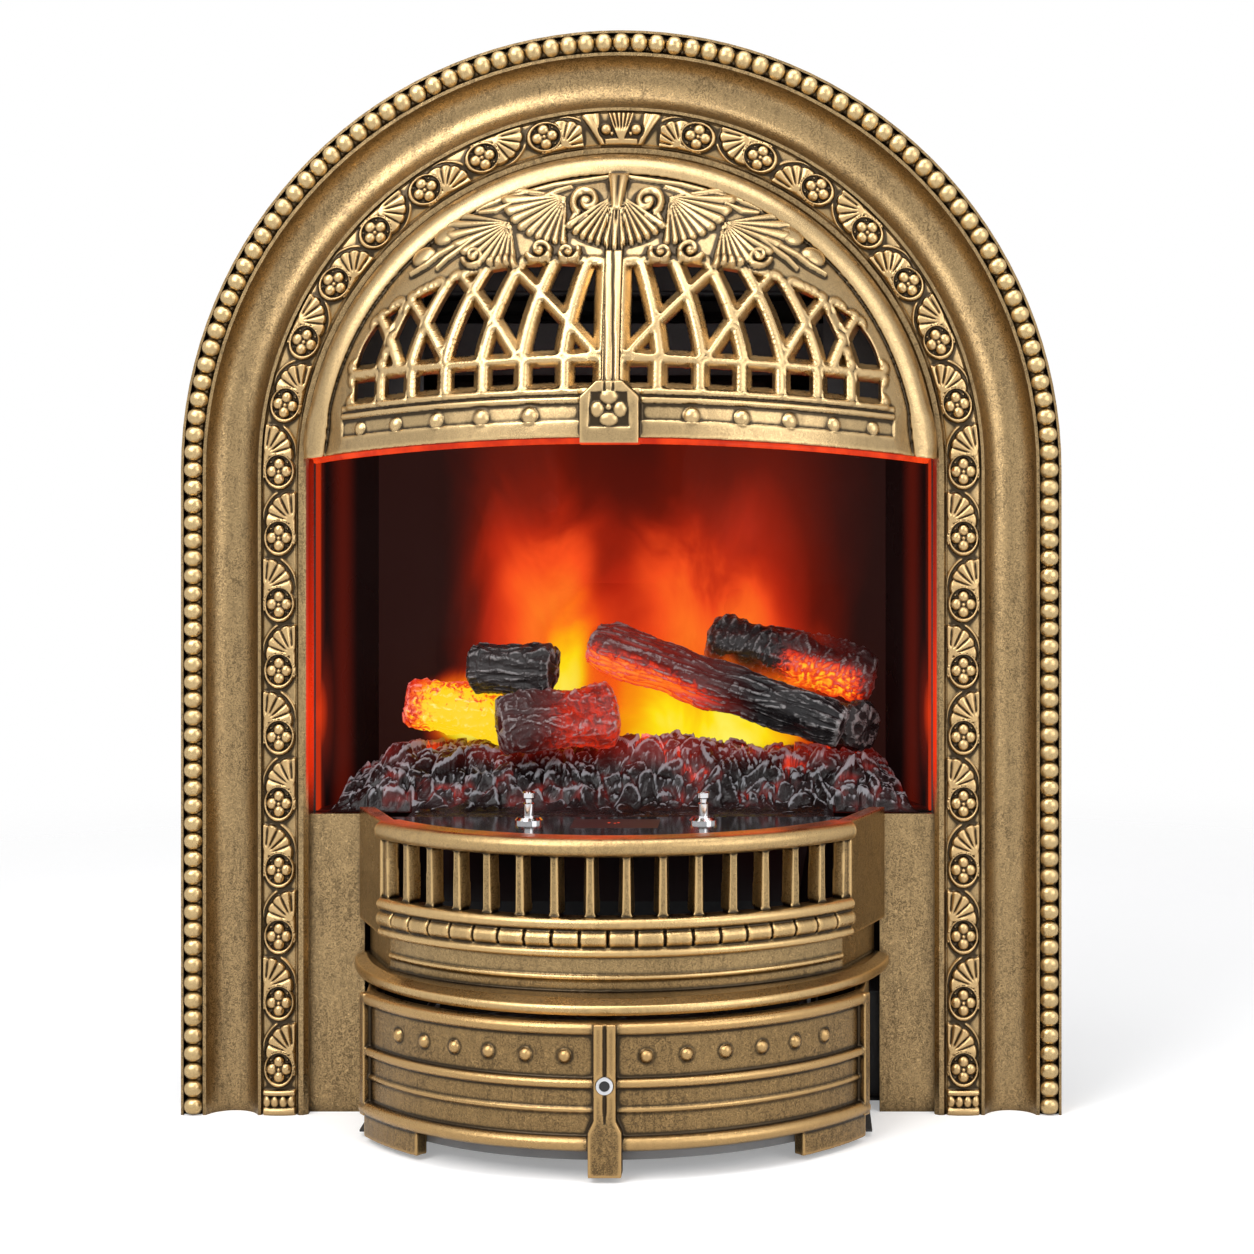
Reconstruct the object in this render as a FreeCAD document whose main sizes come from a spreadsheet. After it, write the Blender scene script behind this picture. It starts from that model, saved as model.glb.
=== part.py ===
import FreeCAD, Part
import math
import os
import Sketcher
from types import SimpleNamespace

# An arched fireplace insert that makes its flames from water vapour.
# Millimetres. X is to the right, Y to the back, Z up. The floor is Z = 0, the frame's front plane Y = 0.

SIZES = {
    # Arched front frame, across its moulding from the outer edge to the opening
    "frame_width": 500,
    "spring_height": 366,
    "frame_depth": 22,
    "outer_rim": 1.4,
    "bead_channel": 11,
    "bead_rim": 1.8,
    "cove_width": 29.5,
    "fillet_width": 2.3,
    "frieze_width": 19.5,
    "inner_rim": 6.5,
    "rim_setback": 2,
    "channel_depth": 6,
    "bead_core_rise": 2.6,
    "cove_depth": 11,
    "frieze_setback": 4,
    "frieze_crown": 1.5,
    "edge_slope": 2.5,
    "rear_flange": 8,
    "casting_wall": 5,
    "screw_land": 16,
    # Steel plate behind the frame and the sheet casing
    "plate_thick": 1.5,
    "plate_inset": 10,
    "sheet": 1.2,
    "casing_margin": 10,
    "casing_rise": 150,
    "casing_depth": 134,
    "foot_height": 3,
    "foot_radius": 10,
    "foot_inset": 20,
    "base_tongue": 45,
    "lining_gap": 0.8,
    # Firebox
    "roof_rise": 36,
    "firebox_depth": 108,
    "firebox_taper": 22,
    "return_depth": 36,
    # Hood
    "hood_gap": 0.3,
    "hood_reach": 95,
    "hood_thick": 5,
    "hood_lip": 3.5,
    "hood_rim_width": 11,
    "hood_rim_reach": 15,
    "hood_edge_rise": 19,
    "hood_edge_radius": 1300,
    "hood_band": 24,
    "hood_slot_height": 14,
    "hood_rail": 5,
    "hood_lattice": 48,
    "rib_width": 5,
    "spine_width": 9,
    "spine_proud": 3,
    "keystone_width": 31,
    "keystone_height": 34,
    "keystone_proud": 8,
    "hood_boss_radius": 4.2,
    # Lower panels beside the grate
    "panel_width": 31,
    "panel_setback": 10,
    "panel_thick": 4,
    # Grate, from its top down
    "grate_spread": 52.2,
    "grate_reach": 109,
    "cheek_lap": 3,
    "cheek_splay": 20.5,
    "grate_wall": 9,
    "rail_height": 10,
    "rail_crown": 4,
    "ledge_width": 6,
    "rebate_width": 12,
    "slot_height": 32,
    "bar_setback": 1.5,
    "bar_width": 6.6,
    "bar_draft": 1,
    "sill_height": 6.5,
    "sill_crown": 2.8,
    "bead_groove": 0.5,
    "reel_height": 8.5,
    "reel_crown": 3.2,
    "reel_gap": 1,
    "reel_bite": 2.5,
    "lower_round": 5,
    "lower_crown": 2.1,
    "band_setback": 6,
    "band_height": 10,
    "rib_height": 3,
    "rib_crown": 1.2,
    "lower_band": 6,
    "skirt_height": 8,
    "skirt_inset": 5.3,
    "skirt_depth": 25,
    "skirt_slope": 3,
    # Drawer front, from its top down
    "drawer_ground": 15.5,
    "drawer_gap": 2,
    "drawer_spread": 59.2,
    "drawer_reach": 130,
    "drawer_side_gap": 6,
    "drawer_splay": 5,
    "drawer_wall": 6,
    "rail_proud": 1.6,
    "top_rail": 6.3,
    "top_crown": 2.7,
    "rivet_panel": 22.7,
    "mid_rail": 5,
    "mid_crown": 2.1,
    "slim_band": 10,
    "slim_rib": 3,
    "slim_crown": 1.2,
    "low_band": 12,
    "bottom_rail": 7.5,
    "bottom_crown": 3.2,
    "foot_clearance": 3,
    "foot_width": 53,
    "stile_width": 5.5,
    "stile_proud": 4.2,
    "rivet_radius": 3.8,
    "post_width": 11.5,
    "post_foot_width": 17.5,
    "post_foot_height": 26,
    "post_proud": 6.5,
    "bezel_radius": 4.4,
    "bezel_width": 1.6,
    "bezel_depth": 2,
    "bezel_proud": 0.8,
    "eye_gap": 0.1,
    # Drawer tray, tub and runners
    "tray_margin": 35,
    "tray_floor": 9,
    "tray_height": 51,
    "tray_rear": 27.8,
    "seat_gap": 0.4,
    "slide_height": 12,
    "slide_width": 8.5,
    "slide_base": 24.2,
    "slide_gap": 0.7,
    "runner_wall": 1.5,
    "runner_foot": 14,
    "runner_rear": 14.8,
    "tub_margin": 4,
    "tub_wall": 2,
    "tub_height": 48,
    "tub_front": 60,
    "tub_rear": 7,
    "fogger_width": 120,
    "fogger_depth": 40,
    "fogger_height": 14,
    "disc_radius": 10,
    "disc_thick": 1,
    "disc_pitch": 38,
    "disc_well": 3,
    "stem_radius": 2.5,
    "stem_height": 42,
    "stem_collar": 4,
    "collar_base": 12,
    "collar_thick": 2,
    "float_radius": 11,
    "float_height": 12,
    "float_gap": 0.4,
    "float_side": 26,
    "float_rear": 32,
    "dock_width": 40,
    "dock_height": 16,
    "dock_base": 20,
    "dock_plug": 7,
    # Mist duct, fan and lights
    "duct_gap": 2,
    "duct_wall": 2,
    "duct_inset": 8,
    "duct_front": 20,
    "duct_back": 90,
    "duct_box": 62,
    "nozzle_margin": 47.2,
    "nozzle_centre": 51,
    "nozzle_slot": 12,
    "nozzle_rise": 14,
    "duct_flange": 6,
    "fit_gap": 1,
    "fan_size": 60,
    "fan_thick": 15,
    "fan_bore": 27.5,
    "fan_hub": 10,
    "fan_tip_gap": 1.5,
    "fan_shaft": 2,
    "run_gap": 0.05,
    "fan_web": 3,
    "blade_thick": 1.4,
    "light_width": 8,
    "light_height": 4,
    "light_gap": 3,
    "lens_height": 3,
    # Embers and logs
    "ember_front": 22,
    "ember_rise": 33,
    "ember_skin": 14,
    "log_gap": 0.3,
    # Access lid
    "lid_thick": 3,
    "lid_gap": 0.5,
    "display_width": 48,
    "display_depth": 33,
    "display_thick": 1,
    "display_setback": 9,
    "knob_spacing": 96,
    "knob_setback": 20,
    "knob_flange": 8,
    "knob_flange_height": 3,
    "knob_post": 3,
    "knob_height": 17,
    "knob_head": 3.4,
    "knob_neck": 2.2,
    # Fan heater above the firebox
    "heater_front": 34,
    "heater_back": 118,
    "heater_height": 66,
    "element_setback": 10,
    "element_depth": 12,
    "element_height": 30,
    "rotor_radius": 24,
    "rotor_setback": 52,
    "rotor_length": 200,
    "rotor_room": 15.6,
    "rotor_disc": 2,
    "rotor_blade": 8,
    "heater_shaft": 3,
    "motor_radius": 22,
    "motor_length": 26,
    "bearing_radius": 7,
    "bearing_length": 6,
    "end_float": 0.5,
    # Controls and mains entry
    "box_margin": 3,
    "box_width": 48,
    "box_rear": 28.8,
    "box_front": 8.5,
    "box_height": 58,
    "box_wall": 2,
    "board_thick": 1.6,
    "board_lift": 6,
    "inlet_side": 38,
    "inlet_z": 40,
    "inlet_width": 28,
    "inlet_height": 20,
    "inlet_depth": 20,
    "inlet_flange": 3,
    "inlet_flange_thick": 2,
    "inlet_well": 16,
    "inlet_wall": 3,
    "pin_width": 4,
    "pin_thick": 2,
    "pin_spacing": 7,
    "switch_side": 50,
    "switch_width": 20,
    "switch_height": 15,
    "switch_depth": 18,
    "switch_wall": 2.6,
    "rocker_gap": 0.5,
    "rocker_rise": 3.2,
    "rocker_root": 3,
    "rocker_dip": 1.4,
    "pivot_radius": 1,
    "pivot_length": 1.2,
    "rocker_tilt": 8,
    "fit_clearance": 0.2,
    # Fixings
    "screw_radius": 1.8,
    "screw_hole_gap": 0.1,
    "screw_bite": 4.5,
    "screw_head": 3.6,
    "screw_head_height": 2.4,
    "screw_low": 80,
    "screw_high": 300,
    "wall_hole_radius": 3,
    "wall_hole_side": 38,
    "wall_hole_rise": 340,
    "wall_hole_low": 120,
}

# Counts and angles that are no lengths
ARCH_SCREW_ANGLE = 58
SLOT_COUNT = 15
REEL_COUNT = 20
RIVETS_PER_SIDE = 6
RIVET_FIRST = 7.71
RIVET_PITCH = 7.68
HOOD_BOSSES_PER_SIDE = 5
HOOD_BOSS_FIRST = 11.8
HOOD_BOSS_PITCH = 7.5
HOOD_RIB_FIRST = 7.0
HOOD_RIB_PITCH = 6.5
HOOD_RIBS = 6
HOOD_RIB_LEAN = 0.8
FAN_BLADES = 7
FAN_BLADE_PITCH = 35
ROTOR_BLADES = 18
ROTOR_BLADE_ANGLE = 30

doc = FreeCAD.newDocument("fireplace")
sheet = doc.addObject("Spreadsheet::Sheet", "Sizes")
for row, (alias, number) in enumerate(SIZES.items(), start=1):
    sheet.set(f"A{row}", alias)
    sheet.set(f"B{row}", str(number))
    sheet.setAlias(f"B{row}", alias)
doc.recompute()


class Size:
    """A number that remembers the sheet formula it came from."""

    def __init__(self, text, number):
        self.text = text
        self.number = float(number)

    def __add__(self, other):
        other = as_size(other)
        return Size(f"({self.text} + {other.text})", self.number + other.number)

    def __radd__(self, other):
        return as_size(other) + self

    def __sub__(self, other):
        other = as_size(other)
        return Size(f"({self.text} - {other.text})", self.number - other.number)

    def __rsub__(self, other):
        return as_size(other) - self

    def __mul__(self, other):
        other = as_size(other)
        return Size(f"({self.text} * {other.text})", self.number * other.number)

    def __rmul__(self, other):
        return as_size(other) * self

    def __truediv__(self, other):
        other = as_size(other)
        return Size(f"({self.text} / {other.text})", self.number / other.number)

    def __neg__(self):
        return Size(f"(0 - {self.text})", -self.number)


def as_size(value):
    if isinstance(value, Size):
        return value
    return Size(f"({value})", value)


def root(value):
    return Size(f"sqrt({value.text})", math.sqrt(value.number))


def sine(degrees):
    degrees = as_size(degrees)
    return Size(f"sin({degrees.text} * 1deg)", math.sin(math.radians(degrees.number)))


def cosine(degrees):
    degrees = as_size(degrees)
    return Size(f"cos({degrees.text} * 1deg)", math.cos(math.radians(degrees.number)))


s = SimpleNamespace(**{alias: Size(f"Sizes.{alias}", number) for alias, number in SIZES.items()})
QUARTER_RISE = 1 - math.sqrt(0.5)

# Heights that stack up from the drawer's underside to the floor of the firebox
drawer_top = s.drawer_ground + s.bottom_rail + s.low_band + s.slim_rib + s.slim_band
drawer_top = drawer_top + s.mid_rail + s.rivet_panel + s.top_rail
grate_top = drawer_top + s.drawer_gap + s.skirt_height + s.lower_band + s.rib_height + s.band_height
grate_top = grate_top + s.lower_round + s.bead_groove * 2 + s.reel_height + s.sill_height
grate_top = grate_top + s.slot_height + s.rail_height
floor_height = grate_top - s.fit_gap - s.lid_thick

# Places that several pieces share
half = s.frame_width / 2
jamb = s.outer_rim + s.bead_channel + s.bead_rim + s.cove_width
jamb = jamb + s.fillet_width + s.frieze_width + s.inner_rim
opening = half - jamb
plate_back = s.frame_depth + s.plate_thick
casing_half = opening + s.casing_margin
casing_inner = casing_half - s.sheet
casing_top = s.spring_height + s.casing_rise
back_inner = s.casing_depth - s.sheet
base_top = s.foot_height + s.sheet
floor_low = floor_height - s.sheet
roof_low = s.spring_height + s.roof_rise
roof_top = roof_low + s.sheet
lining_half = opening - s.lining_gap
back_half = lining_half - s.firebox_taper
panel_inner = opening - s.panel_width
nozzle_half = back_half - s.nozzle_margin
duct_half = nozzle_half - s.duct_inset
heater_half = (s.rotor_length + s.rotor_room + s.bearing_length + s.motor_length) / 2 + s.sheet
inlet_x = casing_half - s.inlet_side
switch_x = inlet_x - s.switch_side
screw_circle = opening + s.inner_rim + s.frieze_width + s.fillet_width + s.cove_width / 2
nodes = []


def vector(x, y, z):
    return FreeCAD.Vector(float(x), float(y), float(z))


def bind(thing, prop, value):
    """Tie a property to its sheet formula."""
    thing.setExpression(prop, as_size(value).text)


def finish(thing, label, place=None):
    """Name a sub-part, put it in its place and list it for export."""
    thing.Label = label
    if place:
        for axis, value in zip("xyz", place):
            bind(thing, f"Placement.Base.{axis}", value)
    nodes.append(thing)
    return thing


def new_body(name):
    return doc.addObject("PartDesign::Body", name)


def origin_plane(body, role):
    return next(item for item in body.Origin.OriginFeatures if item.Role == role)


def new_sketch(body, role, lift=0):
    """A sketch on one of the body's own planes, lifted along the plane's normal."""
    sketch = body.newObject("Sketcher::SketchObject", "Sketch")
    sketch.AttachmentSupport = (origin_plane(body, role), [""])
    sketch.MapMode = "FlatFace"
    bind(sketch, "AttachmentOffset.Base.z", lift)
    return sketch


def bulge_radius(start, end, bulge):
    across = end[0] - start[0]
    along = end[1] - start[1]
    return ((across * across + along * along) / 4 + bulge * bulge) / (2 * bulge)


def arc_edge(start, end, bulge):
    """An arc between two points that stands out to the right of its way by the bulge."""
    x0, y0, x1, y1 = (value.number for value in (*start, *end))
    radius = abs(bulge_radius(start, end, bulge).number)
    chord = math.hypot(x1 - x0, y1 - y0)
    right = ((y1 - y0) / chord, (x0 - x1) / chord)
    side = 1 if bulge.number > 0 else -1
    inset = radius * side - bulge.number
    centre = ((x0 + x1) / 2 - right[0] * inset, (y0 + y1) / 2 - right[1] * inset)
    angles = [math.atan2(y - centre[1], x - centre[0]) for x, y in ((x0, y0), (x1, y1))]
    if side < 0:
        angles.reverse()
    if angles[1] < angles[0]:
        angles[1] += 2 * math.pi
    circle = Part.Circle(vector(*centre, 0), vector(0, 0, 1), radius)
    return Part.ArcOfCircle(circle, *angles)


def draw(sketch, points, closed=True):
    """Draw an outline. A point is (across, up), or (across, up, bulge) where its next edge is an arc."""
    points = [tuple(as_size(value) for value in point) for point in points]
    ways = list(zip(points, points[1:] + points[:1]))
    if not closed:
        ways.pop()
    ends = []
    constraints = []
    formulas = []
    for start, end in ways:
        if len(start) == 3:
            index = sketch.addGeometry(arc_edge(start[:2], end[:2], start[2]), False)
            ends.append((index, 1, 2) if start[2].number > 0 else (index, 2, 1))
        else:
            line = Part.LineSegment(*(vector(p[0].number, p[1].number, 0) for p in (start, end)))
            ends.append((sketch.addGeometry(line, False), 1, 2))

    def demand(kind, *facts, value=None):
        if value is None:
            constraints.append(Sketcher.Constraint(kind, *facts))
            formulas.append(None)
        else:
            constraints.append(Sketcher.Constraint(kind, *facts, value.number))
            formulas.append(value.text)

    for (start, end), (index, first, last), following in zip(ways, ends, ends[1:] + ends[:1]):
        if closed or following is not ends[0]:
            demand("Coincident", index, last, following[0], following[1])
        demand("DistanceX", -1, 1, index, first, value=start[0])
        demand("DistanceY", -1, 1, index, first, value=start[1])
        if len(start) == 3:
            radius = bulge_radius(start[:2], end[:2], start[2])
            demand("Radius", index, value=radius if radius.number > 0 else -radius)
    if not closed:
        index, first, last = ends[-1]
        demand("DistanceX", -1, 1, index, last, value=points[-1][0])
        demand("DistanceY", -1, 1, index, last, value=points[-1][1])
    known = len(sketch.Constraints)
    sketch.addConstraint(constraints)
    for offset, formula in enumerate(formulas):
        if formula:
            sketch.setExpression(f"Constraints[{known + offset}]", formula)


def draw_circle(sketch, across, up, radius):
    across, up, radius = as_size(across), as_size(up), as_size(radius)
    circle = Part.Circle(vector(across.number, up.number, 0), vector(0, 0, 1), radius.number)
    index = sketch.addGeometry(circle, False)
    known = len(sketch.Constraints)
    sketch.addConstraint([
        Sketcher.Constraint("DistanceX", -1, 1, index, 3, across.number),
        Sketcher.Constraint("DistanceY", -1, 1, index, 3, up.number),
        Sketcher.Constraint("Radius", index, radius.number),
    ])
    for offset, value in enumerate((across, up, radius)):
        sketch.setExpression(f"Constraints[{known + offset}]", value.text)


def rectangle(low_x, low_y, high_x, high_y):
    return [(low_x, low_y), (high_x, low_y), (high_x, high_y), (low_x, high_y)]


def grow(body, role, low, high, *outlines, circles=()):
    """Pad outlines between two levels along the plane's axis."""
    low, high = as_size(low), as_size(high)
    sketch = new_sketch(body, role, -high if role == "XZ_Plane" else low)
    for outline in outlines:
        draw(sketch, outline)
    for circle in circles:
        draw_circle(sketch, *circle)
    pad = body.newObject("PartDesign::Pad", "Pad")
    pad.Profile = sketch
    bind(pad, "Length", high - low)
    doc.recompute()
    return pad


def cut(body, role, low, high, *outlines, circles=()):
    """Pocket outlines between two levels along the plane's axis, and see that something went."""
    low, high = as_size(low), as_size(high)
    before = body.Shape.Volume
    sketch = new_sketch(body, role, -low if role == "XZ_Plane" else high)
    for outline in outlines:
        draw(sketch, outline)
    for circle in circles:
        draw_circle(sketch, *circle)
    pocket = body.newObject("PartDesign::Pocket", "Pocket")
    pocket.Profile = sketch
    bind(pocket, "Length", high - low)
    doc.recompute()
    if not body.Shape.Volume < before:
        raise ValueError(f"a cut in {body.Name} took nothing away")
    return pocket


def turn(body, role, outline, angle):
    """Turn an outline about the sketch's upright axis, half the angle to each side."""
    sketch = new_sketch(body, role)
    draw(sketch, outline)
    revolution = body.newObject("PartDesign::Revolution", "Revolution")
    revolution.Profile = sketch
    revolution.ReferenceAxis = (sketch, ["V_Axis"])
    bind(revolution, "Angle", angle)
    revolution.Midplane = as_size(angle).number < 360
    doc.recompute()
    return revolution


def around(body, feature, count, pitch):
    """Repeat a centred feature about the body's upright axis, as many to each side."""
    pattern = body.newObject("PartDesign::PolarPattern", "Pattern")
    pattern.Originals = [feature]
    axis = next(item for item in body.Origin.OriginFeatures if item.Role == "Z_Axis")
    pattern.Axis = (axis, [""])
    pattern.Mode = "Spacing"
    bind(pattern, "Offset", pitch)
    pattern.Occurrences = count
    body.Tip = pattern
    doc.recompute()
    return pattern


def slab(label, role, low, high, *outlines, circles=()):
    body = new_body(label)
    grow(body, role, low, high, *outlines, circles=circles)
    return finish(body, label)


def block(name, low, high):
    """A plain box between two corners."""
    box = doc.addObject("Part::Box", name)
    for prop, axis, start, end in zip(("Length", "Width", "Height"), "xyz", low, high):
        bind(box, prop, end - start)
        bind(box, f"Placement.Base.{axis}", start)
    return box


DIRECTIONS = {
    "x": FreeCAD.Rotation(FreeCAD.Vector(0, 1, 0), 90),
    "y": FreeCAD.Rotation(FreeCAD.Vector(1, 0, 0), -90),
    "z": FreeCAD.Rotation(),
}


def rod(name, direction, radius, length, x, y, z):
    """A round bar that starts at a point and runs along an axis."""
    bar = doc.addObject("Part::Cylinder", name)
    bind(bar, "Radius", radius)
    bind(bar, "Height", length)
    bar.Placement = FreeCAD.Placement(vector(0, 0, 0), DIRECTIONS[direction])
    for axis, value in zip("xyz", (x, y, z)):
        bind(bar, f"Placement.Base.{axis}", value)
    return bar


def ball(name, radius, x, y, z):
    sphere = doc.addObject("Part::Sphere", name)
    bind(sphere, "Radius", radius)
    for axis, value in zip("xyz", (x, y, z)):
        bind(sphere, f"Placement.Base.{axis}", value)
    return sphere


def fuse(name, shapes):
    joined = doc.addObject("Part::MultiFuse", name)
    joined.Shapes = shapes
    joined.Refine = False
    return joined


def take_away(name, base, tool):
    difference = doc.addObject("Part::Cut", name)
    difference.Base = base
    difference.Tool = tool
    difference.Refine = False
    return difference


def group(name, shapes):
    """Separate solids that share a node."""
    compound = doc.addObject("Part::Compound", name)
    compound.Links = shapes
    return compound


def shaped(label, shape):
    feature = doc.addObject("Part::Feature", label)
    feature.Shape = shape
    feature.Placement = FreeCAD.Placement()
    return finish(feature, label)


# Front frame and the plate behind it

def frame_section():
    """The frame's moulding at the right leg, counter-clockwise from the opening's front corner."""
    frieze_start = opening + s.inner_rim
    frieze_end = frieze_start + s.frieze_width
    cove_start = frieze_end + s.fillet_width
    cove_end = cove_start + s.cove_width
    channel_start = cove_end + s.bead_rim
    channel_end = channel_start + s.bead_channel
    land_start = screw_circle - s.screw_land / 2
    land_end = screw_circle + s.screw_land / 2
    frieze_back = s.frieze_setback + s.casting_wall
    channel_back = s.channel_depth + s.casting_wall
    return [
        (opening, s.frieze_setback),
        (opening + s.edge_slope, s.rim_setback),
        (frieze_start - s.edge_slope / 2, s.rim_setback),
        (frieze_start, s.frieze_setback, s.frieze_crown),
        (frieze_end, s.frieze_setback),
        (frieze_end + s.fillet_width / 4, s.rim_setback),
        (cove_start, s.rim_setback, -s.cove_depth),
        (cove_end, s.rim_setback),
        (channel_start, s.rim_setback),
        (channel_start, s.channel_depth, s.bead_core_rise),
        (channel_end, s.channel_depth),
        (channel_end, s.rim_setback),
        (half, s.rim_setback),
        (half, s.frame_depth),
        (half - s.rear_flange, s.frame_depth),
        (half - s.rear_flange, channel_back),
        (cove_end, channel_back),
        (land_end, s.frame_depth),
        (land_start, s.frame_depth),
        (cove_start, frieze_back),
        (opening + s.casting_wall, frieze_back),
        (opening + s.casting_wall, s.frame_depth),
        (opening, s.frame_depth),
    ]


def screw_places():
    """Where the frame's screws stand, as (x, z)."""
    right = [
        (screw_circle, s.screw_low),
        (screw_circle, s.screw_high),
        (screw_circle * cosine(ARCH_SCREW_ANGLE), s.spring_height + screw_circle * sine(ARCH_SCREW_ANGLE)),
    ]
    return right + [(-x, z) for x, z in right]


def make_front_frame():
    body = new_body("front_frame")
    section = new_sketch(body, "XY_Plane")
    draw(section, frame_section())
    path = new_sketch(body, "XZ_Plane")
    rise = opening * QUARTER_RISE
    draw(path, [
        (opening, 0),
        (opening, s.spring_height, rise),
        (0, s.spring_height + opening, rise),
        (-opening, s.spring_height),
        (-opening, 0),
    ], closed=False)
    doc.recompute()
    pipe = body.newObject("PartDesign::AdditivePipe", "Pipe")
    pipe.Profile = section
    pipe.Spine = (path, [f"Edge{index + 1}" for index in range(path.GeometryCount)])
    doc.recompute()
    holes = [(x, z, s.screw_radius + s.screw_hole_gap) for x, z in screw_places()]
    bite = s.screw_bite + s.screw_hole_gap
    cut(body, "XZ_Plane", s.frame_depth - bite, s.frame_depth, circles=holes)
    finish(body, "front_frame")


def make_front_plate():
    """An arched steel plate with a notch for the fire and a window for the heater."""
    edge = half - s.plate_inset
    rise = edge * QUARTER_RISE
    leg = panel_inner + s.cheek_lap
    outline = [
        (edge, 0),
        (edge, s.spring_height, rise),
        (0, s.spring_height + edge, rise),
        (-edge, s.spring_height),
        (-edge, 0),
        (-leg, 0),
        (-leg, floor_low),
        (-lining_half, floor_low),
        (-lining_half, roof_low),
        (lining_half, roof_low),
        (lining_half, floor_low),
        (leg, floor_low),
        (leg, 0),
    ]
    window_half = heater_half - s.casing_margin
    window = rectangle(-window_half, roof_low + s.casing_margin, window_half, roof_top + s.heater_height)
    holes = [(x, z, s.screw_radius + s.fit_clearance) for x, z in screw_places()]
    slab("front_plate", "XZ_Plane", s.frame_depth, plate_back, outline, window, circles=holes)


def make_frame_screws():
    screws = []
    for x, z in screw_places():
        length = s.screw_bite + s.plate_thick
        shank = rod("shank", "y", s.screw_radius, length, x, s.frame_depth - s.screw_bite, z)
        head = rod("head", "y", s.screw_head, s.screw_head_height, x, plate_back, z)
        screws.append(fuse("screw", [shank, head]))
    finish(group("frame_screws", screws), "frame_screws")


# Hood

def hood_ball():
    """Radius of the sphere that the bowed hood is cut from."""
    rim = opening - s.hood_gap
    return ((rim * rim + s.hood_reach * s.hood_reach) / (2 * s.hood_reach)).number


def hood_sag(x):
    """How far the hood's level lines drop at a distance from the middle."""
    radius = s.hood_edge_radius.number
    return radius - math.sqrt(radius * radius - x * x)


def flat_face(*edges):
    return Part.Face(Part.Wire(Part.__sortEdges__([edge.toShape() for edge in edges])))


def strip(bottom, middle, top, width):
    """A bar in the hood's face that follows three points (x, z)."""
    left = [vector(x - width / 2, 0, z) for x, z in (bottom, middle, top)]
    right = [vector(x + width / 2, 0, z) for x, z in (bottom, middle, top)]
    return flat_face(
        Part.Arc(*left),
        Part.LineSegment(left[2], right[2]),
        Part.Arc(*right),
        Part.LineSegment(left[0], right[0]),
    )


def hood_levels():
    """Heights in the middle of the hood: lower edge, slot sill, slot head, lattice sill, lattice head."""
    edge = (s.spring_height + s.hood_edge_rise).number
    sill = edge + s.hood_band.number + s.hood_rail.number / 2
    head = sill + s.hood_slot_height.number
    lattice = head + s.hood_rail.number
    return edge, sill, head, lattice, lattice + s.hood_lattice.number


def hood_rib_feet():
    """Distances of the ribs from the middle where they stand on the rail, the last being the side edge."""
    level = hood_levels()[3] - s.spring_height.number
    circle = math.sqrt(hood_ball() ** 2 - level ** 2)
    angles = [HOOD_RIB_FIRST + HOOD_RIB_PITCH * index for index in range(HOOD_RIBS + 1)]
    return [circle * math.sin(math.radians(angle)) for angle in angles]


def hood_openings():
    """Faces of the openings in the right half of the hood, in the plane of the frame."""
    edge, sill, head, lattice, top = hood_levels()
    feet = hood_rib_feet()
    width = s.rib_width.number
    height = top - lattice
    inner = s.spine_width.number / 2 + width / 2
    outer = feet[-1]
    shoulder = outer * HOOD_RIB_LEAN
    shoulder_drop = height * 0.4
    side_bow = width
    corner = vector(shoulder, 0, top - shoulder_drop)
    inner_foot = vector(inner, 0, lattice - hood_sag(inner))
    outer_foot = vector(outer, 0, lattice - hood_sag(outer))
    window = flat_face(
        Part.LineSegment(inner_foot, outer_foot),
        Part.Arc(
            outer_foot,
            vector((outer + shoulder) / 2 + side_bow, 0, (lattice + top - shoulder_drop) / 2),
            corner,
        ),
        Part.Arc(corner, vector(shoulder / 2, 0, top), vector(inner, 0, top)),
        Part.LineSegment(vector(inner, 0, top), vector(inner, 0, lattice - hood_sag(inner))),
    )
    bars = []
    reach_down = width
    for foot in feet[:-1]:
        crown = foot * HOOD_RIB_LEAN - width * 1.3
        belly = foot * 0.6 + crown * 0.4 + width * 0.3
        bars.append(strip(
            (foot + width * 0.3, lattice - hood_sag(foot) - reach_down),
            (belly, lattice + height / 2),
            (crown, top + reach_down),
            width,
        ))
    braces = [
        (inner, feet[2] * HOOD_RIB_LEAN, top),
        (feet[1] + width * 0.6, feet[4] * HOOD_RIB_LEAN, top),
        (feet[3], shoulder, top - shoulder_drop + width),
        (feet[4] + width * 1.6, outer - width * 2.4, (lattice + top) / 2),
    ]
    for low_x, high_x, high_z in braces:
        low_z = lattice - hood_sag(low_x) - reach_down / 2
        middle = ((low_x + high_x) / 2 - width * 0.3, (low_z + high_z) / 2)
        bars.append(strip((low_x, low_z), middle, (high_x, high_z), width * 0.9))
    gaps = window.cut(Part.makeCompound(bars))
    faces = list(gaps.Faces)
    bounds = [inner] + feet
    for low, high in zip(bounds, bounds[1:]):
        left = low + (width / 2 if low > inner else 0)
        right = high - (width / 2 if high < outer else 0)
        corners = [
            vector(left, 0, sill - hood_sag(left)),
            vector(right, 0, sill - hood_sag(right)),
            vector(right, 0, head - hood_sag(right)),
            vector(left, 0, head - hood_sag(left)),
        ]
        faces.append(Part.Face(Part.makePolygon(corners + corners[:1])))
    return faces


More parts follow.
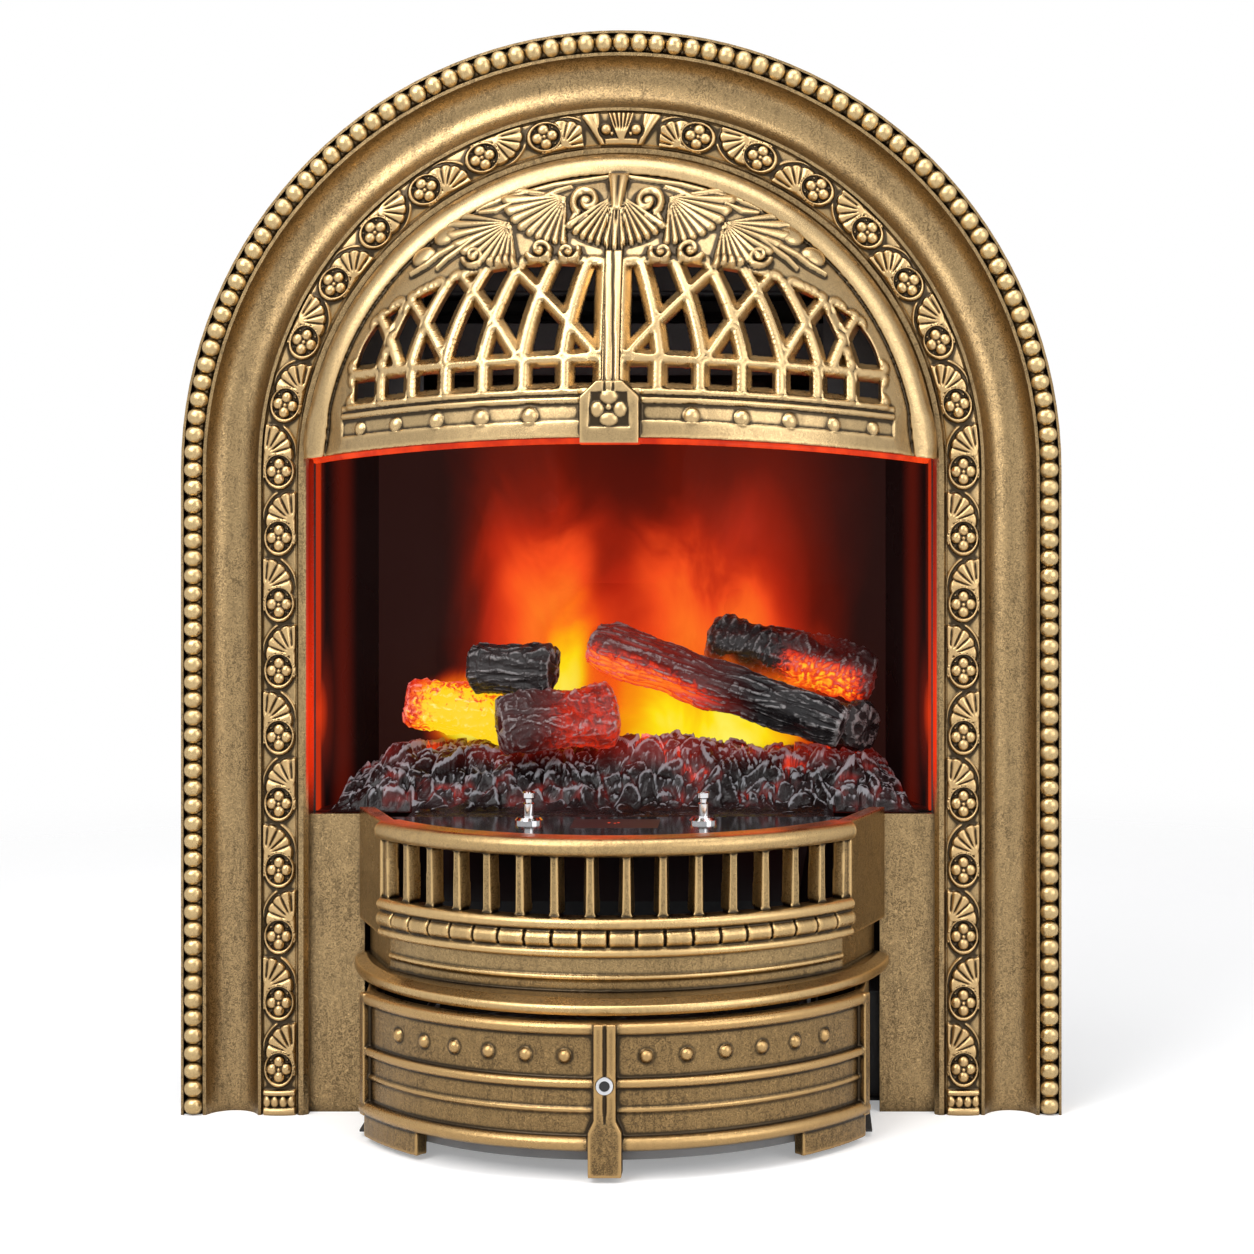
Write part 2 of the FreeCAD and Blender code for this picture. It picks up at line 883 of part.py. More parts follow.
def make_hood():
    radius = hood_ball()
    reach = s.hood_reach.number
    rim = (opening - s.hood_gap).number
    spring = s.spring_height.number
    thick = s.hood_thick.number
    depth = s.frame_depth.number
    edge, sill, head, lattice, top = hood_levels()
    centre = vector(0, radius - reach, spring)
    back = vector(0, 1, 0)
    room = 2 * radius

    def sphere(size):
        return Part.makeSphere(size, centre)

    def below(level):
        sweep = s.hood_edge_radius.number
        return Part.makeCylinder(sweep, 2 * room, vector(0, -room, level - sweep), back)

    inside = Part.makeCylinder(rim, room, vector(0, -room, spring), back)
    middle = sphere(radius - thick / 2)
    skin = sphere(radius).cut(middle).common(inside).cut(below(edge))
    lining = middle.cut(sphere(radius - thick)).common(inside).cut(below(edge - s.hood_lip.number))

    inner_rim = rim - s.hood_rim_width.number
    front = -s.hood_rim_reach.number
    crown = front - s.hood_rim_width.number / 4
    rim_section = flat_face(
        Part.LineSegment(vector(inner_rim, depth, spring), vector(rim, depth, spring)),
        Part.LineSegment(vector(rim, depth, spring), vector(rim, 0, spring)),
        Part.Arc(
            vector(rim, 0, spring),
            vector((inner_rim + 2 * rim) / 3, front, spring),
            vector(inner_rim, crown, spring),
        ),
        Part.LineSegment(vector(inner_rim, crown, spring), vector(inner_rim, depth, spring)),
    )
    rim_ring = rim_section.revolve(vector(0, 0, spring), back, 360).cut(below(edge))

    spine_half = s.spine_width.number / 2
    keystone_top = edge - s.keystone_proud.number / 2 + s.keystone_height.number
    spine_box = Part.makeBox(
        2 * spine_half, reach + s.spine_proud.number, spring + inner_rim - keystone_top,
        vector(-spine_half, -reach - s.spine_proud.number, keystone_top),
    )
    spine = sphere(radius + s.spine_proud.number).cut(sphere(radius - thick)).common(spine_box)
    tab = s.keystone_width.number / 2
    tab_low = keystone_top - s.keystone_height.number
    shoulder = keystone_top - s.keystone_height.number / 4
    tab_front = -reach - s.keystone_proud.number
    corners = [
        vector(-tab, tab_front, tab_low),
        vector(tab, tab_front, tab_low),
        vector(tab, tab_front, shoulder),
        vector(spine_half * 1.5, tab_front, keystone_top),
        vector(-spine_half * 1.5, tab_front, keystone_top),
        vector(-tab, tab_front, shoulder),
    ]
    keystone_deep = s.keystone_proud.number + thick * 1.5
    keystone = Part.Face(Part.makePolygon(corners + corners[:1])).extrude(back * keystone_deep)

    bosses = []
    boss_level = edge + s.hood_band.number / 2
    for index in range(HOOD_BOSSES_PER_SIDE):
        for side in (-1, 1):
            angle = math.radians(HOOD_BOSS_FIRST + HOOD_BOSS_PITCH * index) * side
            level = boss_level - spring
            circle = math.sqrt(radius ** 2 - level ** 2)
            x = circle * math.sin(angle)
            y = centre.y - circle * math.cos(angle)
            place = vector(x, y + thick / 4, boss_level - hood_sag(x))
            bosses.append(Part.makeSphere(s.hood_boss_radius.number, place))

    holes = []
    for face in hood_openings():
        prism = face.translated(vector(0, -room, 0)).extrude(back * room)
        holes.append(prism)
        holes.append(prism.mirror(vector(0, 0, 0), vector(1, 0, 0)))
    plate = skin.fuse([lining, rim_ring])
    pierced = plate.cut(Part.makeCompound(holes))
    shaped("hood", pierced.fuse([spine, keystone] + bosses))


# Lower panels, grate and drawer front

def make_lower_panels():
    for side, label in ((-1, "left_lower_panel"), (1, "right_lower_panel")):
        low = panel_inner if side > 0 else -opening
        high = opening if side > 0 else -panel_inner
        body = new_body(label)
        front = s.panel_setback
        grow(body, "XZ_Plane", front, front + s.panel_thick, rectangle(low, 0, high, floor_height))
        finish(body, label)


cheek_end = panel_inner + s.cheek_lap
cheek_corner = cheek_end - s.cheek_splay
grate_radius = cheek_corner / sine(s.grate_spread)
grate_axis = grate_radius - s.grate_reach
slot_pitch = s.grate_spread * 2 / (SLOT_COUNT + 0.3)


def ring_point(radius, degrees):
    return radius * sine(degrees), -radius * cosine(degrees)


def grate_levels():
    """Heights of the grate's mouldings, from its rail down to the skirt."""
    steps = [
        s.rail_height, s.slot_height, s.sill_height, s.bead_groove, s.reel_height, s.bead_groove,
        s.lower_round, s.band_height, s.rib_height, s.lower_band, s.skirt_height,
    ]
    levels = [grate_top]
    for step in steps:
        levels.append(levels[-1] - step)
    return levels


def grate_section():
    """The grate's wall and mouldings, in the plane through the middle, as (y, z) from the arc's axis."""
    top, rail, slot, sill, reel_top, reel, *lower_levels = grate_levels()
    round_top, round_low, rib_top, rib_low, skirt_top, skirt_low = lower_levels
    face = -grate_radius
    bar = face + s.bar_setback
    band = face + s.band_setback
    inner = face + s.grate_wall
    rebate = face + s.rebate_width
    ledge = rebate + s.ledge_width
    return [
        (rebate, top),
        (face, top, s.rail_crown),
        (face, rail),
        (bar, rail),
        (bar, slot),
        (face, slot, s.sill_crown),
        (face, sill),
        (bar, sill),
        (bar, reel_top),
        (face, reel_top, s.reel_crown),
        (face, reel),
        (bar, reel),
        (bar, round_top),
        (face, round_top, s.lower_crown),
        (face, round_low),
        (band, round_low),
        (band, rib_top, s.rib_crown),
        (band, rib_low),
        (band, skirt_low),
        (inner + s.ledge_width / 2, skirt_low),
        (inner + s.ledge_width / 2, round_low),
        (inner, round_low),
        (inner, rail),
        (ledge, rail + s.rail_height / 3),
        (ledge, floor_height),
        (rebate, floor_height),
    ]


def mirrored_cheeks(body, low, high, outer_inset, inner_inset, end_x, end_y, radius, half_angle, axis):
    """Side walls from the arc's ends back to a plane, one to each side."""
    for side in (-1, 1):
        near = ring_point(radius - outer_inset, half_angle)
        near_in = ring_point(radius - inner_inset, half_angle)
        points = [
            (near[0] * side, near[1]),
            ((end_x - outer_inset) * side, end_y - axis),
            ((end_x - inner_inset) * side, end_y - axis),
            (near_in[0] * side, near_in[1]),
        ]
        grow(body, "XY_Plane", low, high, points)


def make_front_grate():
    levels = grate_levels()
    body = new_body("front_grate")
    turn(body, "YZ_Plane", grate_section(), s.grate_spread * 2)
    mirrored_cheeks(
        body, levels[7], grate_top, as_size(0), s.grate_wall,
        cheek_end, s.panel_setback, grate_radius, s.grate_spread, grate_axis,
    )
    mirrored_cheeks(
        body, levels[11], levels[7], s.band_setback, s.grate_wall + s.ledge_width / 2,
        cheek_end, s.panel_setback, grate_radius, s.grate_spread, grate_axis,
    )
    slot_half = (grate_radius * slot_pitch * math.pi / 180 - s.bar_width) / 2
    slot = [
        (-slot_half, levels[2]),
        (slot_half, levels[2]),
        (slot_half + s.bar_draft / 2, levels[1]),
        (-slot_half - s.bar_draft / 2, levels[1]),
    ]
    reach = grate_radius + s.rail_crown + s.fit_gap
    first = cut(body, "XZ_Plane", -reach, -(grate_radius / 2), slot)
    for way in (False, True):
        around(body, first, SLOT_COUNT // 2 + 1, slot_pitch).Reversed = way
        doc.recompute()
    reel_pitch = s.grate_spread * 2 / REEL_COUNT
    groove = rectangle(-s.reel_gap / 2, levels[5], s.reel_gap / 2, levels[4])
    first = cut(body, "XZ_Plane", -reach, s.reel_bite - grate_radius - s.reel_crown, groove)
    for way in (False, True):
        around(body, first, REEL_COUNT // 2, reel_pitch).Reversed = way
        doc.recompute()
    finish(body, "front_grate_casting", (0, grate_axis, 0))
    nodes.remove(body)
    skirt = make_grate_skirt(levels[10], levels[11])
    finish(fuse("front_grate", [body, skirt]), "front_grate")


drawer_end = panel_inner - s.drawer_side_gap
drawer_corner = drawer_end - s.drawer_splay
drawer_radius = drawer_corner / sine(s.drawer_spread)
drawer_back = s.panel_setback - s.drawer_side_gap / 2
skirt_radius = drawer_radius - s.skirt_inset
skirt_axis = drawer_radius - s.drawer_reach


def make_grate_skirt(high, low):
    """The flared rim under the grate, round the same axis as the drawer front."""
    body = new_body("grate_skirt")
    edge = skirt_radius
    inner = edge - s.skirt_depth
    turn(body, "YZ_Plane", [
        (-edge, low),
        (-inner, low),
        (-inner, high),
        (-edge + s.skirt_slope * 2, high),
        (-edge, high - s.skirt_slope, s.skirt_slope / 4),
    ], 360)
    behind = s.panel_setback - skirt_axis
    room = skirt_radius + s.fit_gap
    cut(body, "XY_Plane", low - s.fit_gap, high + s.fit_gap, rectangle(-room, behind, room, room))
    for axis, value in zip("xyz", (0, skirt_axis, 0)):
        bind(body, f"Placement.Base.{axis}", value)
    return body


def drawer_levels():
    """Heights of the drawer front's rails and bands, from its top down to the bottom rail's underside."""
    steps = [
        s.top_rail, s.rivet_panel, s.mid_rail, s.slim_band, s.slim_rib, s.low_band, s.bottom_rail,
    ]
    levels = [drawer_top]
    for step in steps:
        levels.append(levels[-1] - step)
    return levels


def drawer_section():
    top, rail, mid_top, mid_low, rib_top, rib_low, bottom_top, bottom = drawer_levels()
    face = -drawer_radius
    rail_face = face - s.rail_proud
    inner = face + s.drawer_wall
    return [
        (inner, top),
        (rail_face, top, s.top_crown),
        (rail_face, rail),
        (face, rail),
        (face, mid_top),
        (rail_face, mid_top, s.mid_crown),
        (rail_face, mid_low),
        (face, mid_low),
        (face, rib_top, s.slim_crown),
        (face, rib_low),
        (face, bottom_top),
        (rail_face, bottom_top, s.bottom_crown),
        (rail_face, bottom),
        (inner, bottom),
    ]


def arc_strip(radius, inset, proud, start, end, side):
    """Plan of a piece of ring between two angles."""
    outer = radius + proud
    inner = radius - inset
    rise = 1 - cosine((end - start) / 2)
    ax, ay = ring_point(outer, start)
    bx, by = ring_point(outer, end)
    cx, cy = ring_point(inner, end)
    dx, dy = ring_point(inner, start)
    return [
        (ax * side, ay, outer * rise * side),
        (bx * side, by),
        (cx * side, cy, -inner * rise * side),
        (dx * side, dy),
    ]


def receiver_height():
    levels = drawer_levels()
    return (levels[2] + levels[3]) / 2


def make_drawer_front():
    levels = drawer_levels()
    top, bottom = levels[0], levels[-1]
    body = new_body("drawer_casting")
    turn(body, "YZ_Plane", drawer_section(), s.drawer_spread * 2)
    mirrored_cheeks(
        body, bottom, top, as_size(0), s.drawer_wall,
        drawer_end, drawer_back, drawer_radius, s.drawer_spread, skirt_axis,
    )
    stile_angle = s.stile_width / drawer_radius * 180 / math.pi
    foot_angle = s.foot_width / drawer_radius * 180 / math.pi
    for side in (-1, 1):
        stile = arc_strip(
            drawer_radius, s.drawer_wall / 2, s.stile_proud,
            s.drawer_spread - stile_angle, s.drawer_spread, side,
        )
        grow(body, "XY_Plane", bottom, top, stile)
        foot = arc_strip(
            drawer_radius, s.drawer_wall, s.rail_proud, s.drawer_spread - foot_angle, s.drawer_spread, side,
        )
        grow(body, "XY_Plane", s.foot_clearance, bottom + s.bottom_rail / 2, foot)
    post = s.post_width / 2
    foot = s.post_foot_width / 2
    flare = s.post_foot_height
    grow(body, "XZ_Plane", -drawer_radius - s.post_proud, s.drawer_wall - drawer_radius - s.seat_gap, [
        (-foot, s.foot_clearance),
        (foot, s.foot_clearance),
        (foot, flare),
        (post, flare + s.post_foot_width - s.post_width),
        (post, top),
        (-post, top),
        (-post, flare + s.post_foot_width - s.post_width),
        (-foot, flare),
    ])
    eye = (0, receiver_height(), s.bezel_radius + s.eye_gap)
    front = -drawer_radius - s.post_proud
    cut(body, "XZ_Plane", front, front + s.bezel_depth, circles=[eye])
    for axis, value in zip("xyz", (0, skirt_axis, 0)):
        bind(body, f"Placement.Base.{axis}", value)
    rivets = []
    rivet_level = (levels[1] + levels[2]) / 2
    for index in range(RIVETS_PER_SIDE):
        for side in (-1, 1):
            x, y = ring_point(drawer_radius - s.rivet_radius / 4, RIVET_FIRST + RIVET_PITCH * index)
            rivets.append(ball("rivet", s.rivet_radius, x * side, y + skirt_axis, rivet_level))
    finish(fuse("drawer_front", [body] + rivets), "drawer_front")


def make_receiver():
    """The remote control's eye in the drawer's centre post: a bezel and a dark window."""
    seat = skirt_axis - drawer_radius - s.post_proud + s.bezel_depth
    length = s.bezel_depth + s.bezel_proud
    ring = rod("bezel_disc", "y", s.bezel_radius, length, 0, seat - length, receiver_height())
    bore = rod("bezel_bore", "y", s.bezel_radius - s.bezel_width, length, 0, seat - length, receiver_height())
    finish(take_away("receiver_bezel", ring, bore), "receiver_bezel")
    window_radius = s.bezel_radius - s.bezel_width - s.eye_gap
    window_length = length - s.bezel_proud / 2
    window_face = seat - window_length
    window = rod("receiver_window", "y", window_radius, window_length, 0, window_face, receiver_height())
    finish(window, "receiver_window")


# Drawer tray, tub and runners

tray_half = panel_inner - s.tray_margin
tray_top = s.tray_floor + s.tray_height
tray_back = back_inner - s.tray_rear


def bowed_plan(half_width, radius, back):
    """Plan of a pan with straight sides and a bowed front, round the drawer's axis."""
    depth = root(radius * radius - half_width * half_width)
    return [
        (-half_width, skirt_axis - depth, radius - depth),
        (half_width, skirt_axis - depth),
        (half_width, back),
        (-half_width, back),
    ]


def make_drawer_tray():
    body = new_body("drawer_tray")
    radius = drawer_radius - s.drawer_wall - s.seat_gap
    grow(body, "XY_Plane", s.tray_floor, tray_top, bowed_plan(tray_half, radius, tray_back))
    inner = bowed_plan(tray_half - s.sheet, radius - s.sheet, tray_back - s.sheet)
    cut(body, "XY_Plane", s.tray_floor + s.sheet, tray_top + s.fit_gap, inner)
    finish(body, "drawer_tray")


def make_runners():
    """Slide bars on the tray and the channels that carry them, standing on the casing's base."""
    slide_top = s.slide_base + s.slide_height
    web_inner = tray_half + s.slide_width + s.slide_gap
    web_outer = web_inner + s.runner_wall
    lip = tray_half + s.slide_width / 4
    wall = s.runner_wall
    low = s.slide_base - s.slide_gap
    high = slide_top + s.slide_gap
    front = -(s.base_tongue - s.fit_gap)
    for side, name in ((-1, "left"), (1, "right")):
        inner = tray_half * side
        outer = (tray_half + s.slide_width) * side
        bar = [(inner, s.slide_base), (outer, s.slide_base), (outer, slide_top), (inner, slide_top)]
        slab(f"{name}_slide_bar", "XZ_Plane", front, tray_back, bar)
        channel = [
            (web_outer * side, base_top),
            (web_outer * side, high + wall),
            (lip * side, high + wall),
            (lip * side, high),
            (web_inner * side, high),
            (web_inner * side, low),
            (lip * side, low),
            (lip * side, low - wall),
            (web_inner * side, low - wall),
            (web_inner * side, base_top + wall),
            ((web_outer - s.runner_foot) * side, base_top + wall),
            ((web_outer - s.runner_foot) * side, base_top),
        ]
        slab(f"{name}_runner", "XZ_Plane", front, back_inner - s.runner_rear, channel)


tub_floor = s.tray_floor + s.sheet
tub_top = tub_floor + s.tub_height
tub_half = tray_half - s.tub_margin
tub_back = tray_back - s.tub_rear
tub_bed = tub_floor + s.tub_wall


def make_water_tub():
    body = new_body("water_tub")
    grow(body, "XY_Plane", tub_floor, tub_top, rectangle(-tub_half, -s.tub_front, tub_half, tub_back))
    wall = s.tub_wall
    inside = rectangle(wall - tub_half, wall - s.tub_front, tub_half - wall, tub_back - wall)
    cut(body, "XY_Plane", tub_bed, tub_top + s.fit_gap, inside)
    finish(body, "water_tub")


def make_fogger():
    """The ultrasonic unit on the tub's floor, with a disc in each well."""
    high = tub_bed + s.fogger_height
    body = new_body("fogger_base")
    wide = s.fogger_width / 2
    grow(body, "XY_Plane", tub_bed, high, rectangle(-wide, 0, wide, s.fogger_depth))
    middle = s.fogger_depth / 2
    wells = [(s.disc_pitch * index, middle, s.disc_radius + s.eye_gap) for index in (-1, 0, 1)]
    cut(body, "XY_Plane", high - s.disc_well, high, circles=wells)
    finish(body, "fogger_base")
    discs = [
        rod("disc", "z", s.disc_radius, s.disc_thick, s.disc_pitch * index, middle, high - s.disc_well)
        for index in (-1, 0, 1)
    ]
    finish(group("fogger_discs", discs), "fogger_discs")


def make_float():
    """The level float, resting on the collar of its stem."""
    x, y = tub_half - s.float_side, tub_back - s.float_rear
    collar = tub_bed + s.collar_base
    seat = collar + s.collar_thick
    stem_top = tub_bed + s.stem_height
    stem = rod("stem", "z", s.stem_radius, s.stem_height, x, y, tub_bed)
    stop = rod("stem_stop", "z", s.stem_collar, s.collar_thick, x, y, collar)
    cap = rod("stem_cap", "z", s.stem_collar, s.collar_thick, x, y, stem_top - s.collar_thick)
    finish(fuse("float_stem", [stem, stop, cap]), "float_stem")
    drum = rod("float_drum", "z", s.float_radius, s.float_height, x, y, seat)
    bore = rod("float_bore", "z", s.stem_radius + s.float_gap, s.float_height, x, y, seat)
    finish(take_away("water_float", drum, bore), "water_float")


def make_dock():
    """Power contacts that meet when the drawer is shut."""
    wide = s.dock_width / 2
    high = s.dock_base + s.dock_height
    seam = tray_back + s.dock_plug
    finish(block("dock_plug", (-wide, tray_back, s.dock_base), (wide, seam, high)), "dock_plug")
    finish(block("dock_socket", (-wide, seam, s.dock_base), (wide, back_inner, high)), "dock_socket")


# Casing and firebox lining

def make_casing():
    front = plate_back
    low, high = base_top, casing_top - s.sheet
    finish(block("casing_left", (-casing_half, front, low), (-casing_inner, back_inner, high)), "casing_left")
    finish(block("casing_right", (casing_inner, front, low), (casing_half, back_inner, high)), "casing_right")
    roof = block("casing_top", (-casing_half, front, high), (casing_half, back_inner, casing_top))
    finish(roof, "casing_top")
    tongue = panel_inner - s.drawer_side_gap
    slab("casing_base", "XY_Plane", s.foot_height, base_top, [
        (-tongue, -s.base_tongue),
        (tongue, -s.base_tongue),
        (tongue, front),
        (casing_half, front),
        (casing_half, back_inner),
        (-casing_half, back_inner),
        (-casing_half, front),
        (-tongue, front),
    ])
    feet = []
    front_foot = (tongue - s.foot_inset, s.foot_radius + s.fit_gap - s.base_tongue)
    back_foot = (casing_half - s.foot_inset, back_inner - s.foot_inset)
    for x, y in (front_foot, back_foot):
        for side in (-1, 1):
            feet.append(rod("foot", "z", s.foot_radius, s.foot_height, x * side, y, 0))
    finish(group("base_feet", feet), "base_feet")


def opening_around(x, z, width, height):
    """A rectangular cut-out for a piece that sits in the back."""
    gap = s.fit_clearance
    return rectangle(x - width / 2 - gap, z - height / 2 - gap, x + width / 2 + gap, z + height / 2 + gap)


def make_casing_back():
    body = new_body("casing_back")
    outline = rectangle(-casing_half, s.foot_height, casing_half, casing_top)
    grow(body, "XZ_Plane", back_inner, s.casing_depth, outline)
    hole_x = casing_half - s.wall_hole_side
    holes = [
        (hole_x * side, s.wall_hole_low + s.wall_hole_rise * level, s.wall_hole_radius)
        for side in (-1, 1) for level in (0, 1)
    ]
    cut(
        body, "XZ_Plane", back_inner - s.fit_gap, s.casing_depth + s.fit_gap,
        opening_around(inlet_x, s.inlet_z, s.inlet_width, s.inlet_height),
        opening_around(switch_x, s.inlet_z, s.switch_width, s.switch_height),
        circles=holes,
    )
    finish(body, "casing_back")


nozzle_low = s.nozzle_centre - s.nozzle_slot / 2 - s.duct_wall
nozzle_high = s.nozzle_centre + s.nozzle_slot / 2 + s.duct_wall


def make_firebox():
    front = plate_back
    back = s.firebox_depth
    tongue = nozzle_half - s.fit_gap
    tongue_front = -(s.ember_front + s.casting_wall + s.fit_gap)
    slot_half = nozzle_half + s.duct_wall + s.fit_clearance
    slot = rectangle(-slot_half, nozzle_low - s.fit_clearance, slot_half, nozzle_high + s.fit_clearance)
    floor = [
        (-tongue, tongue_front),
        (tongue, tongue_front),
        (tongue, front),
        (casing_inner, front),
        (casing_inner, back + s.sheet),
        (-casing_inner, back + s.sheet),
        (-casing_inner, front),
        (-tongue, front),
    ]
    slab("firebox_floor", "XY_Plane", floor_low, floor_height, floor, slot)
    roof = rectangle(-casing_inner, front, casing_inner, back_inner)
    slab("firebox_roof", "XY_Plane", roof_low, roof_top, roof)
    for side, label in ((-1, "firebox_left"), (1, "firebox_right")):
        sheet_line = [
            ((lining_half - s.sheet) * side, front),
            (lining_half * side, front),
            (lining_half * side, s.return_depth),
            (back_half * side, back),
            ((back_half - s.sheet) * side, back),
            ((lining_half - s.sheet) * side, s.return_depth),
        ]
        slab(label, "XY_Plane", floor_height, roof_low, sheet_line)
    low_corner = (-back_half, back, floor_height)
    high_corner = (back_half, back + s.sheet, roof_low)
    finish(block("firebox_back", low_corner, high_corner), "firebox_back")


# Embers and logs

def log_list():
    """Each log as (label, start, end, start radius, end radius), resting on the embers or on each other."""
    bed = (floor_height + s.ember_rise).number
    wall = back_half.number

    def left(inset, y, rise):
        return vector(inset - wall, y, bed + rise)

    def middle(x, y, rise):
        return vector(x, y, bed + rise)

    def right(inset, y, rise):
        return vector(wall - inset, y, bed + rise)

    return [
        ("left_glowing_log", left(23, 62, 24), left(89, 74, 15), 16, 18),
        ("centre_log", middle(-72, 26, 16), middle(-6, 40, 14), 17.5, 16),
        ("right_end_log", right(13, 50, 13), right(51, 84, 14), 17, 15),
        ("left_back_log", left(63, 56, 48), middle(-42, 44, 46), 16, 17),
        ("long_log", middle(-20, 60, 62), right(28, 27, 13), 13, 15),
        ("right_log", middle(48, 84, 62), right(9, 72, 37), 14.5, 15.5),
    ]


def log_shape(start, end, start_radius, end_radius, extra=0.0):
    way = end - start
    return Part.makeCone(start_radius + extra, end_radius + extra, way.Length, start, way)


def make_embers_and_logs():
    gap = s.log_gap.number
    lower = []
    for label, start, end, start_radius, end_radius in log_list():
        shape = log_shape(start, end, start_radius, end_radius)
        if lower:
            shape = shape.cut(lower)
        lower.append(log_shape(start, end, start_radius, end_radius, gap))
        biggest = max(shape.Solids, key=lambda solid: solid.Volume)
        shaped(label, biggest)
    low = floor_height
    high = low + s.ember_rise
    apron = nozzle_half + s.casting_wall * 3
    wide = lining_half - s.casting_wall
    deep = s.firebox_depth - s.casting_wall
    rear = back_half - s.casting_wall
    step = s.panel_setback + s.panel_thick + s.fit_gap
    foot = [
        (-apron, -s.ember_front),
        (apron, -s.ember_front),
        (apron + s.casting_wall, step),
        (wide, step + s.casting_wall),
        (rear, deep),
        (-rear, deep),
        (-wide, step + s.casting_wall),
        (-apron - s.casting_wall, step),
    ]
    rise = s.ember_rise
    crest = [
        (-apron + rise, s.ember_front),
        (apron - rise, s.ember_front),
        (apron - rise / 2, step + rise / 2),
        (wide - rise, step + rise),
        (rear - rise / 2, deep - rise / 4),
        (rise / 2 - rear, deep - rise / 4),
        (rise - wide, step + rise),
        (rise / 2 - apron, step + rise / 2),
    ]
    body = new_body("ember_mound")
    lower_sketch = new_sketch(body, "XY_Plane", low)
    draw(lower_sketch, foot)
    upper_sketch = new_sketch(body, "XY_Plane", high)
    draw(upper_sketch, crest)
    doc.recompute()
    loft = body.newObject("PartDesign::AdditiveLoft", "Loft")
    loft.Profile = lower_sketch
    loft.Sections = [upper_sketch]
    loft.Ruled = True
    doc.recompute()
    side = nozzle_half + s.duct_wall + s.fit_gap
    reach = s.duct_wall + s.light_gap + s.light_width + s.fit_gap
    trough = rectangle(-side, nozzle_low - reach, side, nozzle_high + reach)
    cut(body, "XY_Plane", low, high - s.ember_skin, trough)
    slot = rectangle(-side, nozzle_low - s.fit_gap, side, nozzle_high + s.fit_gap)
    cut(body, "XY_Plane", low, high + s.fit_gap, slot)
    mound = body.Shape.cut(lower)
    shaped("ember_bed", max(mound.Solids, key=lambda solid: solid.Volume))


# Access lid with its display and knobs

lid_top = floor_height + s.lid_thick
lid_rear = -(s.ember_front + s.fit_gap)


def make_access_lid():
    radius = grate_radius - s.rebate_width - s.lid_gap
    angle = s.grate_spread - 2
    corner_x, corner_y = ring_point(radius, angle)
    rear_half = corner_x + s.rebate_width - s.bar_setback
    body = new_body("access_lid")
    rise = radius * (1 - cosine(angle))
    grow(body, "XY_Plane", floor_height, lid_top, [
        (-corner_x, corner_y + grate_axis, rise),
        (corner_x, corner_y + grate_axis),
        (rear_half, lid_rear),
        (-rear_half, lid_rear),
    ])
    wide = s.display_width / 2
    high = lid_rear - s.display_setback
    well = rectangle(-wide, high - s.display_depth, wide, high)
    cut(body, "XY_Plane", lid_top - s.display_thick, lid_top, well)
    finish(body, "access_lid")
    inset = s.eye_gap
    glass = rectangle(inset - wide, high - s.display_depth + inset, wide - inset, high - inset)
    slab("display_panel", "XY_Plane", lid_top - s.display_thick, lid_top, glass)


def make_lift_knobs():
    knobs = []
    flange = s.knob_flange
    step = s.knob_flange_height
    top = s.knob_height
    head = s.knob_head
    for side in (-1, 1):
        body = new_body("knob")
        turn(body, "XZ_Plane", [
            (0, 0),
            (flange, 0),
            (flange, step / 2),
            (flange - step / 2, step),
            (s.knob_post, step),
            (s.knob_post, top - head * 2),
            (s.knob_neck, top - head * 2 + step / 4),
            (s.knob_neck, top - head - step / 4),
            (head, top - head),
            (head, top - step / 4),
            (head - step / 4, top),
            (0, top),
        ], 360)
        place = (s.knob_spacing / 2 * side, lid_rear - s.knob_setback, lid_top)
        for axis, value in zip("xyz", place):
            bind(body, f"Placement.Base.{axis}", value)
        knobs.append(body)
    finish(group("lift_knobs", knobs), "lift_knobs")


# Mist duct, fan and lights

duct_low = tub_top + s.tray_height - s.tub_height + s.duct_gap
duct_shoulder = duct_low + s.duct_box
fan_middle = duct_low + s.fan_size / 2


def make_mist_duct():
    """A box over the tub that narrows to a slot under the embers."""
    def shell(inset, reach):
        body = new_body("duct_form")
        half_box = duct_half - inset
        box = rectangle(-half_box, inset - s.duct_front, half_box, s.duct_back - inset)
        grow(body, "XY_Plane", duct_low - reach, duct_shoulder, box)
        half_slot = nozzle_half + s.duct_wall - inset
        mouth = rectangle(-half_slot, nozzle_low + inset, half_slot, nozzle_high - inset)
        lower_sketch = new_sketch(body, "XY_Plane", duct_shoulder)
        draw(lower_sketch, box)
        upper_sketch = new_sketch(body, "XY_Plane", floor_low)
        draw(upper_sketch, mouth)
        doc.recompute()
        loft = body.newObject("PartDesign::AdditiveLoft", "Loft")
        loft.Profile = lower_sketch
        loft.Sections = [upper_sketch]
        loft.Ruled = True
        doc.recompute()
        grow(body, "XY_Plane", floor_low, floor_height + s.nozzle_rise + reach, mouth)
        return body

    outside = shell(as_size(0), as_size(0))
    flange_half = nozzle_half + s.duct_wall + s.duct_flange
    flange = block(
        "duct_flange",
        (-flange_half, nozzle_low - s.duct_flange, floor_low - s.duct_wall),
        (flange_half, nozzle_high + s.duct_flange, floor_low),
    )
    port = rod("fan_port", "y", s.fan_bore, s.duct_wall + s.fit_gap, 0, s.duct_back - s.duct_wall, fan_middle)
    inside = fuse("duct_inside", [shell(s.duct_wall, s.fit_gap), port])
    finish(take_away("mist_duct", fuse("duct_outside", [outside, flange]), inside), "mist_duct")


